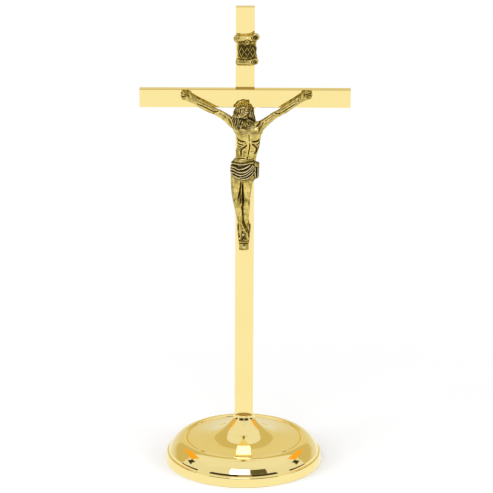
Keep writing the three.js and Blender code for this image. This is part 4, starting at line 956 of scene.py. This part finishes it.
def cloth_clay():
    clay = Clay(*CLOTH_BLOCK, CLOTH_STEP)
    clay.limb(CLOTH, 0.8, 3)
    for line, width, height in FOLDS:
        clay.line(line, width, -height, 1.0, 0.12)
    for line, width, depth in FOLD_VALLEYS:
        clay.line(line, width, depth, 2.0, 0.2)
    for place, halves in KNOT:
        clay.egg(place, halves, 0.6)
    for i, stations in enumerate(CLOTH_ENDS):
        clay.limb(stations, 0.2, 4, 5, 0.13, 0.7 * (1 - i))
    for line, width, depth in END_LINES:
        clay.line(line, width, depth, 3.0, 0.1)
    keep_off_bars(clay)
    return clay


# The scroll: across and up from its own centre, out from the upright's front
SCROLL_ACROSS = 1.4
SCROLL_UP = 352.8 - CROSS_Z
PLATE = [8.1, 2.1, 9.5]
PLATE_BLOCK = [[-9, -0.6, -11], [9, 3, 11]]
PLATE_SKEW = 0.045
PLATE_BLEND = 0.6
PLATE_WAVES = [[0.14, 0.42, 0, 0.4], [0.08, 0.3, 0.7, 0]]
PLATE_WAIST = 0.55
PLATE_SWAY = 0.25
PLATE_RATE = 0.9
TOP_ROLL = [
    [-7.5, 2.2, 10, 3.3, 3.2],
    [-4.4, 1.9, 10.2, 2.8, 2.9],
    [-0.6, 1.9, 10.4, 2.6, 2.8],
    [3.2, 2, 10.6, 2.8, 3],
    [6, 2.3, 11.4, 3.3, 3.3],
]
FOOT_ROLL = [
    [-6.3, 1.6, -9.7, 2.8, 2.8],
    [-3, 1.4, -9.9, 2.7, 2.6],
    [0.4, 1.4, -9.9, 2.6, 2.6],
    [3.8, 1.4, -9.6, 2.7, 2.6],
    [6.4, 1.6, -8.8, 2.8, 2.7],
]

# The curled ends, as across, up, radius and how far out, and the coil in each
CURLS = [[6.7, 11.9, 3.2, 6.0], [0.0, 7.6, 2.1, 5.9], [6.4, -8.7, 2.7, 4.8]]
CURL_PIT = 0.8
CURL_EYE = 0.78
COIL_STEPS = 18
COIL_START = 2.0
COIL_TURNS = 1.35
COIL_FROM = 0.72
COIL_SPAN = 0.66
COIL_HALVES = [0.36, 0.9]

# Grooves and ridges on the scroll: points across and up, width, depth and how far out they begin
SCROLL_LINES = [
    [[[-10.6, 11.6], [-4, 10.9], [2.4, 11.1], [5.4, 12.2]], 0.4, 0.35, 2],
    [[[-9.8, 8.4], [-5, 7.9], [-1.8, 6.6], [-0.4, 5.5]], 0.4, 0.5, 1],
    [[[-9.6, -8.6], [-3, -8.9], [4.2, -8.7]], 0.4, 0.45, 1],
    [[[-9.6, -10.6], [-3, -11], [4.2, -10.8]], 0.4, 0.35, 1],
    [[[-7.2, 6.4], [-6.8, 0], [-7.2, -6.4]], 0.3, -0.35, 1],
    [[[7.4, 6.8], [6.9, 0], [7.3, -6.4]], 0.3, -0.35, 1],
]

# The row of raised lozenges on the plate
LOZENGES = 3
LOZENGE_PITCH = 4.5
LOZENGE_PLACE = [0.1, -0.7]
LOZENGE_HALVES = [1.8, 3.9]
LOZENGE_STROKE = [0.42, -1.0]


def curl(clay, across, up, radius, out):
    """A curled end: a disc in a round pit, with a coil in its eye."""
    clay.egg([across, out, up], [radius + CURL_PIT, 2.6, radius + CURL_PIT], 0.2, take=True)
    clay.egg([across, out - 2.2, up], [radius, 2.4, radius], 0.12)
    clay.egg([across, out + 0.6, up], [radius * CURL_EYE, 2.2, radius * CURL_EYE], 0.15, take=True)
    coil = []
    for k in range(COIL_STEPS + 1):
        share = k / COIL_STEPS
        turn = COIL_START - 2 * math.pi * COIL_TURNS * share
        away = radius * (COIL_FROM - COIL_SPAN * share)
        place = [across + away * math.cos(turn), out - 1.5, up + away * math.sin(turn)]
        coil.append([*place, *COIL_HALVES])
    clay.limb(coil, 0.1, 1)


def scroll_clay():
    clay = Clay(*SCROLL_BLOCK, SCROLL_STEP)
    cuts, x, y, z = clay.window(*PLATE_BLOCK, 1.0)
    wave = sum(size * np.cos(p * x + q * z + r) for size, p, q, r in PLATE_WAVES)
    waist = PLATE[0] - PLATE_WAIST * np.cos(z / PLATE[2] * math.pi / 2) + PLATE_SWAY * np.sin(z * PLATE_RATE)
    plate = np.maximum(np.abs(x + PLATE_SKEW * z) - waist, np.abs(z) - PLATE[2])
    clay.join(cuts, np.maximum(plate, y - PLATE[1] - wave), PLATE_BLEND)
    for roll in (TOP_ROLL, FOOT_ROLL):
        clay.limb(roll, 0.5, 4, 3, 0.03, 2.0)
    for row in CURLS:
        curl(clay, *row)
    for row in SCROLL_LINES:
        clay.line(*row)
    for i in range(LOZENGES):
        middle = LOZENGE_PITCH * (i - (LOZENGES - 1) / 2) + LOZENGE_PLACE[0]
        low, centre, high = (LOZENGE_PLACE[1] + n * LOZENGE_HALVES[1] for n in (-1, 0, 1))
        left, right = middle - LOZENGE_HALVES[0], middle + LOZENGE_HALVES[0]
        corners = [[middle, high], [right, centre], [middle, low], [left, centre]]
        for a, b in zip(corners, corners[1:] + corners[:1]):
            clay.line([a, b], *LOZENGE_STROKE, 1.0, 0)
    back = BAR_TOUCH - clay.axes[1][None, :, None]
    clay.field = np.maximum(clay.field, back.astype(np.float32))
    return clay


# The turned base, in millimetres: curves of [start, control, end] from the neck out to the rim
BASE_CURVES = [
    [[7.2, 40.5], [7.9, 40.5], [7.9, 39.8]],
    [[7.9, 39.8], [8.2, 38.3], [8.7, 37.2]],
    [[8.7, 37.2], [14.49, 29.92], [18.3, 27.46]],
    [[18.3, 27.46], [23.95, 23.86], [28.65, 22.64]],
    [[28.65, 22.64], [36.95, 20.52], [46, 19.8]],
    [[46, 19.8], [46.5, 19.2], [46.8, 18.4]],
    [[46.8, 18.4], [47.6, 20.7], [49.4, 20.7]],
    [[49.4, 20.7], [54.15, 20.2], [58.9, 14.2]],
    [[58.9, 14.2], [60.1, 12.5], [61.2, 10.6]],
    [[61.2, 10.6], [61.6, 9.6], [61.8, 8.6]],
    [[61.8, 8.6], [63.3, 8.6], [63.3, 7]],
    [[63.3, 7], [63.6, 4.3], [63.9, 1.6]],
    [[63.9, 1.6], [63.9, 0.4], [62.9, 0.4]],
]
BASE_INSIDE = [
    [61.9, 0.4],
    [61.9, 7.4],
    [60.6, 7.4],
    [60, 10.4],
    [57.9, 13.7],
    [54.15, 18.2],
    [47.6, 17.4],
    [44.4, 17.4],
    [27.65, 21.64],
    [17.3, 26.46],
    [7.7, 36.2],
    [6.9, 38.8],
    [2.15, 38.8],
    [2.15, 40.5],
]
BASE_SIDES = 256
CURVE_STEPS = 14
CREASE = math.radians(12)

# The felt disc, as radius and height from its underside's middle round to its top's middle
FELT_EDGE = [[60.2, 0.02], [60.9, 0.12], [61.2, 0.5], [61.1, 0.95], [60.7, 1.16]]
FELT_PROFILE = [[0, 0.02], [30, 0.02], *FELT_EDGE, [30, 1.18], [0, 1.18]]

# Domed pins in the figure: node, place of the head's foot, head radius and height
PINS = [
    ["hand_nail_left", [-42.3, -10.2, 312.8], 1.15, 0.7],
    ["hand_nail_right", [43.6, -10.2, 313.7], 1.15, 0.7],
    ["foot_nail", [-1.1, -14.5, 200.9], 1.15, 0.7],
    ["tab_rivet", [-0.5, -4.6, 187.3], 1.9, 1.1],
]
PIN_SIDES = 40
PIN_STEPS = 10
PIN_FOOT = 1.5
PIN_NECK = 0.6


def curve_points(curves, steps):
    points = []
    for start, control, end in curves:
        for i in range(steps):
            t = i / steps
            shares = ((1 - t) ** 2, 2 * t * (1 - t), t * t)
            points.append([sum(s * p for s, p in zip(shares, at)) for at in zip(start, control, end)])
    points.append(curves[-1][2])
    return points


def turned(name, profile, sides, closed):
    """A body turned round +Z from [radius, height] points, its poles closed by fans."""
    vertices = []
    rings = []
    for radius, height in profile:
        if radius < 1e-6:
            rings.append([len(vertices)] * sides)
            vertices.append([0, 0, height * MM])
            continue
        rings.append(list(range(len(vertices), len(vertices) + sides)))
        for k in range(sides):
            turn = 2 * math.pi * k / sides
            vertices.append([radius * math.cos(turn) * MM, radius * math.sin(turn) * MM, height * MM])
    faces = []
    for a, b in zip(rings, rings[1:] + rings[:1] if closed else rings[1:]):
        for k in range(sides):
            corners = [a[k], b[k], b[(k + 1) % sides], a[(k + 1) % sides]]
            face = list(dict.fromkeys(corners))
            if len(face) > 2:
                faces.append(face)
    made = mesh_object(name, vertices, faces)
    made.data.set_sharp_from_angle(angle=CREASE)
    return made


def base_piece(material):
    profile = curve_points(BASE_CURVES, CURVE_STEPS) + BASE_INSIDE
    stand_in(turned("spun_base", profile, BASE_SIDES, True), material, "base_shell")


def pin_piece(node, place, radius, height, material):
    """A domed head on a short shank, facing the front."""
    angles = [math.pi / 2 * i / PIN_STEPS for i in range(PIN_STEPS + 1)]
    profile = [[radius * math.sin(a), height * math.cos(a)] for a in angles]
    profile += [[radius * PIN_NECK, -0.05], [radius * PIN_NECK, -PIN_FOOT], [0, -PIN_FOOT]]
    made = turned(node + "_head", profile, PIN_SIDES, False)
    made.data.transform(Matrix.Translation(Vector(place) * MM) @ Matrix.Rotation(math.pi / 2, 4, "X"))
    stand_in(made, material, node)


def felt_piece(material):
    """A disc of felt with a soft cut edge."""
    made = turned("felt_disc", FELT_PROFILE[::-1], BASE_SIDES, False)
    stand_in(made, material, "felt_pad")


# Cast brass: colour in the hollows and on the high parts, and the wear, painted shade included, at which
# each is reached
CAST_TONES = {
    "antique_brass": [(0.055, 0.037, 0.005), (0.91, 0.73, 0.24), -0.21, 0.04],
    "antique_brass_hair": [(0.03, 0.022, 0.005), (0.92, 0.79, 0.4), -0.16, 0.09],
    "antique_brass_cloth": [(0.06, 0.044, 0.009), (0.92, 0.79, 0.43), -0.13, 0.17],
    "antique_brass_scroll": [(0.07, 0.052, 0.008), (0.9, 0.7, 0.22), -0.19, 0.05],
}
CAST_BROWN = [0.22, (0.24, 0.165, 0.024)]
CAST_MIDDLE = [0.5, (0.5, 0.385, 0.088)]
CAST_ROUGH = [0.6, 0.34]
CAST_METAL = [0.8, 1.0]
METAL_FROM = 0.4

# Grain and patches in the patina: features per metre, the noise's lowest part, and how much they sway
CAST_GRAINS = [[1500, 0.2, 0.09], [260, 0.25, 0.11]]

# Polished brass: its tone and its haze, each between two ends
BRASS_TONES = [[0.3, (0.965, 0.79, 0.33)], [0.7, (0.985, 0.82, 0.365)]]
BRASS_HAZE = [0.03, 0.075]
FELT_TONES = [[0.3, (0.012, 0.045, 0.022)], [0.7, (0.03, 0.095, 0.05)]]

# Plain coats: dark and light tone, grains per metre, roughness from and to, metal and bump
COATS = {
    "worn_brass": [(0.6, 0.45, 0.17), (0.88, 0.72, 0.34), 700, (0.2, 0.34), 1.0, 0.1],
    "zinc_steel": [(0.5, 0.5, 0.52), (0.66, 0.66, 0.68), 500, (0.28, 0.42), 1.0, 0.08],
    "cast_iron": [(0.03, 0.03, 0.032), (0.08, 0.08, 0.082), 420, (0.6, 0.8), 0.4, 0.5],
    "matt_paint": [(0.012, 0.012, 0.012), (0.028, 0.028, 0.028), 650, (0.55, 0.7), 0.0, 0.2],
}

# The CAD nodes that stay as they are
BRASS_NODES = ["upright_bar", "cross_bar", "scroll_rivet_upper", "scroll_rivet_lower"]
COAT_NODES = {
    "zinc_steel": ["stem_stud", "stem_washer", "stem_nut", "crossing_screw_upper", "crossing_screw_lower"],
    "cast_iron": ["base_weight"],
    "matt_paint": ["bottom_cover"],
}


def add_node(tree, kind, links=None, **values):
    """A node with its properties and inputs set, and with these sockets linked to its inputs."""
    node = tree.nodes.new("ShaderNode" + kind)
    for key, value in values.items():
        if hasattr(node, key):
            setattr(node, key, value)
        else:
            node.inputs[key].default_value = value
    for key, source in (links or {}).items():
        tree.links.new(source, node.inputs[key])
    return node


def new_material(name):
    """A material with its node tree and its main shader."""
    made = bpy.data.materials.new(name)
    made.use_nodes = True
    return made, made.node_tree, made.node_tree.nodes["Principled BSDF"]


def bare_material(name):
    """A material whose node tree is empty."""
    made, tree, _ = new_material(name)
    tree.nodes.clear()
    return made, tree


def noise(tree, scale, detail=4.0, roughness=0.55):
    """Noise over the object's own coordinates, in features per metre."""
    place = add_node(tree, "TexCoord").outputs["Object"]
    node = add_node(tree, "TexNoise", {"Vector": place}, Scale=scale, Detail=detail, Roughness=roughness)
    return node.outputs["Fac"]


def ramp(tree, source, stops):
    """A colour ramp on a value, with stops of [place, colour]."""
    node = add_node(tree, "ValToRGB", {"Fac": source})
    elements = node.color_ramp.elements
    while len(elements) < len(stops):
        elements.new(0.5)
    for element, (place, colour) in zip(elements, stops):
        element.position = place
        element.color = (*colour, 1)
    return node.outputs["Color"]


def fit_range(tree, source, low, high, to_low=0.0, to_high=1.0):
    ends = {"From Min": low, "From Max": high, "To Min": to_low, "To Max": to_high}
    return add_node(tree, "MapRange", {"Value": source}, **ends).outputs["Result"]


def add_bump(tree, shader, height, strength, distance):
    node = add_node(tree, "Bump", {"Height": height}, Strength=strength, Distance=distance)
    tree.links.new(node.outputs["Normal"], shader.inputs["Normal"])


def polished_brass():
    """Lacquered mirror brass, with the faint waver and haze of a buffing wheel."""
    made, tree, shader = new_material("polished_brass")
    shader.inputs["Metallic"].default_value = 1.0
    tree.links.new(ramp(tree, noise(tree, 22, 3), BRASS_TONES), shader.inputs["Base Color"])
    haze = fit_range(tree, noise(tree, 160, 5), 0.3, 0.7, *BRASS_HAZE)
    tree.links.new(haze, shader.inputs["Roughness"])
    add_bump(tree, shader, noise(tree, 45, 1), 0.03, 0.0004)
    return made


def antique_brass(name, dark, bright, low, high):
    """Cast brass, dark in its hollows and rubbed bright on what stands up, with painted shade on faces
    turned away from the front and in shadowed patches.
    """
    made, tree, shader = new_material(name)
    # The attribute holds the patina of the hollows together with painted shade and painted light.
    worn_and_shaded = add_node(tree, "Attribute", attribute_name="hollow_and_shade").outputs["Fac"]
    for scale, lowest, sway in CAST_GRAINS:
        grain = fit_range(tree, noise(tree, scale, 3), lowest, 1 - lowest, -sway, sway)
        worn_and_shaded = add_node(tree, "Math", {0: worn_and_shaded, 1: grain}, operation="ADD").outputs[0]
    share = fit_range(tree, worn_and_shaded, low, high)
    colour = ramp(tree, share, [[0.0, dark], CAST_BROWN, CAST_MIDDLE, [1.0, bright]])
    tree.links.new(colour, shader.inputs["Base Color"])
    tree.links.new(fit_range(tree, share, 0.0, 1.0, *CAST_ROUGH), shader.inputs["Roughness"])
    tree.links.new(fit_range(tree, share, 0.0, METAL_FROM, *CAST_METAL), shader.inputs["Metallic"])
    add_bump(tree, shader, noise(tree, 1100, 4), 0.12, 0.00022)
    return made


def speckled(name, dark, light, scale, rough, metal, bump):
    """A plain coat or casting with a fine grain of two close tones."""
    made, tree, shader = new_material(name)
    shader.inputs["Metallic"].default_value = metal
    grain = noise(tree, scale, 5)
    tree.links.new(ramp(tree, grain, [[0.3, dark], [0.7, light]]), shader.inputs["Base Color"])
    tree.links.new(fit_range(tree, grain, 0.3, 0.7, *rough), shader.inputs["Roughness"])
    add_bump(tree, shader, noise(tree, scale * 2.5, 4), bump, 0.0003)
    return made


def felt_cloth():
    """Pressed green felt, a mat of short crossed fibres."""
    made, tree, shader = new_material("felt")
    fibres = noise(tree, 900, 8, 0.75)
    tree.links.new(ramp(tree, fibres, FELT_TONES), shader.inputs["Base Color"])
    shader.inputs["Roughness"].default_value = 0.95
    shader.inputs["Sheen Weight"].default_value = 0.4
    add_bump(tree, shader, fibres, 0.6, 0.0005)
    return made


def paint_nodes(names, material):
    for name in names:
        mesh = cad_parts[name].data
        mesh.materials.clear()
        mesh.materials.append(material)


# The light tent: how bright each part is in reflections, and how pale it is
WHITE = (1, 1, 1, 1)
BACK_FLOOR = (0.82, 0.81, 0.76, 1)
LIT_WALL = (0.79, 0.72, 0.49, 1)
DARK_WALL = (0.66, 0.56, 0.3, 1)
ARCH_TOP = 4.15
ARCH_SLOPE = 1.3
ARCH_ROUND = 0.5
ARCH_SOFT = 0.16
HORIZON_LOW = 0.3
HORIZON_HIGH = 1.5
TENT_LIGHT = 0.7
TENT_SHOWN = 0.86
CAMERA_SHOWN = 1.0
PALE = (0.92, 0.92, 0.92, 1)
FLOOR_HALF = 14.0
FLOOR_FRONT = -6.0
FLOOR_BACK = 4.0
WALL_HEIGHT = 7.5
WALL_BEND = 1.2
BEND_STEPS = 12
FADE_FROM = -0.05
FADE_TO = 0.5
WHITE_FROM = 0.06
WHITE_TO = 0.3
CARD_REACH = 3.2
CARD_STEP = 4.0

# Cards of the tent that only reflections see: degrees round from the front, degrees up, and colour
CARDS = [
    ["room_left", [-52, -8], [6, 33], (0.05, 0.04, 0.025)],
    ["room_mid", [-8, 12], [6, 33], (0.42, 0.35, 0.28)],
    ["room_right", [12, 52], [6, 33], (0.05, 0.04, 0.025)],
    ["front_box", [-24, 10], [37, 53], (3.3, 3.4, 5.8)],
    ["front_flag", [12, 40], [35, 48], (0.12, 0.11, 0.06)],
    ["side_dark_left", [-102, -92], [24, 36], (0.05, 0.04, 0.02)],
    ["side_dark_right", [92, 102], [24, 36], (0.05, 0.04, 0.02)],
    ["side_low_left", [-104, -72], [2, 13], (0.08, 0.06, 0.03)],
    ["side_low_right", [72, 104], [2, 13], (0.08, 0.06, 0.03)],
]

# Small warm cards that stand near the base: place, half-width and half-height, in metres
GLOWS = [[-0.118, 0.014, 0.094], [0.118, 0.014, 0.094]]
GLOW_SPAN = 0.036
GLOW_RISE = 0.022
GLOW_COLOUR = (1.0, 0.48, 0.05)

# The lit panel overhead
ROOF_COLOUR = (0.9, 0.9, 0.9)
ROOF_FRONT = -1.8
ROOF_BACK = 1.85
ROOF_HALF = 3.4
ROOF_HEIGHT = 3.4

# Soft lamps: place, what they aim at, size and power
LIGHTS = [
    ["front_light", (-0.2, -1.5, 1.42), (0, 0, 0.1), (1.25, 0.62), 14.0],
    ["left_light", (-2.2, -1.2, 1.1), (0, 0, 0.25), (1.2, 1.4), 26.0],
    ["right_light", (2.2, -1.2, 1.1), (0, 0, 0.25), (1.2, 1.4), 20.0],
]


def mixed_colour(tree, share, first, second):
    """One colour turning into the other. Each is a colour or a socket."""
    node = add_node(tree, "Mix", {"Factor": share}, data_type="RGBA")
    for key, value in zip("AB", (first, second)):
        socket = [i for i in node.inputs if i.name == key and i.type == "RGBA"][0]
        if isinstance(value, tuple):
            socket.default_value = value
        else:
            tree.links.new(value, socket)
    return [o for o in node.outputs if o.type == "RGBA"][0]


def mixed_shader(tree, share, first, second):
    return add_node(tree, "MixShader", {0: share, 1: first, 2: second}).outputs[0]


def in_mirrors(tree, path):
    """1 for what a mirror or a clear body shows, and otherwise 0."""
    rays = {0: path["Is Glossy Ray"], 1: path["Is Transmission Ray"]}
    return add_node(tree, "Math", rays, operation="MAXIMUM").outputs[0]


def wall_colour(tree, place):
    """What the back wall shows: a lit arch, with a darker tone outside."""
    flat = add_node(tree, "CombineXYZ", {"X": place["X"]}, Y=ARCH_ROUND).outputs[0]
    away = add_node(tree, "VectorMath", {0: flat}, operation="LENGTH").outputs["Value"]
    edge = add_node(tree, "Math", {0: away, 2: place["Z"]}, operation="MULTIPLY_ADD")
    edge.inputs[1].default_value = ARCH_SLOPE
    peak = ARCH_TOP + ARCH_SLOPE * ARCH_ROUND
    outside = fit_range(tree, edge.outputs[0], peak - ARCH_SOFT, peak + ARCH_SOFT)
    return mixed_colour(tree, outside, LIT_WALL, DARK_WALL)


def studio_white():
    """The floor and wall: a matt white coat that shows at its own strength in reflections."""
    made, tree = bare_material("studio_white")
    path = add_node(tree, "LightPath").outputs
    place = add_node(tree, "SeparateXYZ", {0: add_node(tree, "TexCoord").outputs["Object"]}).outputs
    high = fit_range(tree, place["Z"], HORIZON_LOW, HORIZON_HIGH)
    back = mixed_colour(tree, high, BACK_FLOOR, wall_colour(tree, place))
    shown = mixed_colour(tree, fit_range(tree, place["Y"], FADE_FROM, FADE_TO), WHITE, back)
    glow = add_node(tree, "Emission", {"Color": shown}).outputs[0]
    coat = add_node(tree, "BsdfDiffuse", Color=PALE).outputs[0]
    seen = mixed_shader(tree, in_mirrors(tree, path), coat, glow)
    far = fit_range(tree, place["Y"], WHITE_FROM, WHITE_TO)
    backdrop = add_node(tree, "Math", {0: path["Is Camera Ray"], 1: far}, operation="MULTIPLY").outputs[0]
    white = add_node(tree, "Emission").outputs[0]
    add_node(tree, "OutputMaterial", {"Surface": mixed_shader(tree, backdrop, seen, white)})
    return made


def tent_piece(name, vertices, faces, colour):
    """A glowing piece of the tent, which nothing but a reflection shows."""
    material, tree = bare_material(name)
    glow = add_node(tree, "Emission", Color=(*colour, 1)).outputs[0]
    add_node(tree, "OutputMaterial", {"Surface": glow})
    made = mesh_object(name, vertices, faces)
    made.data.materials.append(material)
    made.visible_camera = False
    made.visible_diffuse = False
    made.visible_shadow = False


def tent_card(name, sides, heights, colour):
    """A patch of a sphere round the object."""
    across = max(1, round((sides[1] - sides[0]) / CARD_STEP))
    up = max(1, round((heights[1] - heights[0]) / CARD_STEP))
    vertices = []
    for j in range(up + 1):
        rise = math.radians(heights[0] + (heights[1] - heights[0]) * j / up)
        level = CARD_REACH * math.cos(rise)
        for i in range(across + 1):
            turn = math.radians(sides[0] + (sides[1] - sides[0]) * i / across)
            vertices.append([level * math.sin(turn), -level * math.cos(turn), CARD_REACH * math.sin(rise)])
    wide = across + 1
    corners = [j * wide + i for j in range(up) for i in range(across)]
    tent_piece(name, vertices, [[c, c + 1, c + 1 + wide, c + wide] for c in corners], colour)


def near_glow(name, place):
    """A small warm patch that faces the base from one side."""
    side = Vector((-place[1], place[0], 0)).normalized() * GLOW_SPAN
    rise = Vector((0, 0, GLOW_RISE))
    middle = Vector(place)
    corners = [middle - side - rise, middle + side - rise, middle + side + rise, middle - side + rise]
    tent_piece(name, [list(corner) for corner in corners], [[0, 1, 2, 3]], GLOW_COLOUR)


def tent_roof():
    ends = [(-1, ROOF_FRONT), (1, ROOF_FRONT), (1, ROOF_BACK), (-1, ROOF_BACK)]
    corners = [[side * ROOF_HALF, y, ROOF_HEIGHT] for side, y in ends]
    tent_piece("tent_roof", corners, [[0, 1, 2, 3]], ROOF_COLOUR)


def studio_floor(material):
    """A floor that bends up into a back wall."""
    path = [[FLOOR_FRONT, 0.0], [FLOOR_BACK - WALL_BEND, 0.0]]
    for i in range(1, BEND_STEPS + 1):
        turn = math.pi / 2 * i / BEND_STEPS
        path.append([FLOOR_BACK - WALL_BEND + WALL_BEND * math.sin(turn), WALL_BEND * (1 - math.cos(turn))])
    path.append([FLOOR_BACK, WALL_HEIGHT])
    vertices = [[x, y, z] for y, z in path for x in (-FLOOR_HALF, FLOOR_HALF)]
    faces = [[2 * i, 2 * i + 1, 2 * i + 3, 2 * i + 2] for i in range(len(path) - 1)]
    floor = mesh_object("studio_floor", vertices, faces)
    floor.data.materials.append(material)


def tent_world():
    """Pale all round, with its own strength in reflections and for the camera."""
    world = bpy.data.worlds.new("tent")
    bpy.context.scene.world = world
    world.use_nodes = True
    tree = world.node_tree
    tree.nodes.clear()
    path = add_node(tree, "LightPath").outputs
    light, shown, camera = (
        add_node(tree, "Background", Color=WHITE, Strength=strength).outputs[0]
        for strength in (TENT_LIGHT, TENT_SHOWN, CAMERA_SHOWN)
    )
    mirrored = mixed_shader(tree, in_mirrors(tree, path), light, shown)
    top = mixed_shader(tree, path["Is Camera Ray"], mirrored, camera)
    add_node(tree, "OutputWorld", {"Surface": top})


def soft_light(name, place, aim, size, power):
    """An area light that lights the matt surfaces; its reflection is the tent's."""
    data = bpy.data.lights.new(name, "AREA")
    data.shape = "RECTANGLE"
    data.size, data.size_y = size
    data.energy = power
    made = bpy.data.objects.new(name, data)
    bpy.context.scene.collection.objects.link(made)
    made.location = place
    made.rotation_euler = (Vector(aim) - Vector(place)).to_track_quat("-Z", "Y").to_euler()
    made.visible_glossy = False
    made.visible_camera = False


def set_camera():
    data = bpy.data.cameras.new("camera")
    data.sensor_fit = "HORIZONTAL"
    data.sensor_width = SENSOR_WIDTH
    data.lens = FOCAL_WIDTHS * SENSOR_WIDTH
    data.clip_end = CAMERA_SIGHT
    made = bpy.data.objects.new("camera", data)
    bpy.context.scene.collection.objects.link(made)
    rise = CAMERA_ELEVATION
    back = CAMERA_DISTANCE * MM * Vector((0, -math.cos(rise), math.sin(rise)))
    made.location = Vector(CAMERA_TARGET) * MM + back
    level = Matrix.Rotation(math.pi / 2 - rise, 4, "X")
    made.rotation_euler = (level @ Matrix.Rotation(CAMERA_ROLL, 4, "Z")).to_euler()
    bpy.context.scene.camera = made


def dress():
    """Makes every piece and gives every CAD node that stays its material."""
    brass = polished_brass()
    coats = {name: speckled(name, *values) for name, values in COATS.items()}
    paint_nodes(BRASS_NODES, brass)
    for name, nodes in COAT_NODES.items():
        paint_nodes(nodes, coats[name])
    base_piece(brass)
    felt_piece(felt_cloth())
    for pin in PINS:
        pin_piece(*pin, coats["worn_brass"])
    figure = ("corpus", [0.0, CROSS_FRONT, CROSS_Z])
    title = ("titulus_scroll", [SCROLL_ACROSS, UPRIGHT_FRONT, CROSS_Z + SCROLL_UP])
    cast_piece("corpus_body", body_clay(), "antique_brass", *figure, BODY_PATINA_AND_SHADE)
    cast_piece("corpus_cloth", cloth_clay(), "antique_brass_cloth", *figure, CLOTH_PATINA_AND_SHADE)
    cast_piece("corpus_head", head_clay(), "antique_brass_hair", *figure, HEAD_PATINA_AND_SHADE)
    cast_piece("title_scroll", scroll_clay(), "antique_brass_scroll", *title, SCROLL_PATINA_AND_SHADE)


set_camera()
dress()
studio_floor(studio_white())
tent_world()
tent_roof()
for card in CARDS:
    tent_card(*card)
for count, place in enumerate(GLOWS):
    near_glow(f"near_glow_{count}", place)
for light in LIGHTS:
    soft_light(*light)
bpy.context.scene.view_settings.view_transform = "Standard"

bpy.context.view_layer.update()
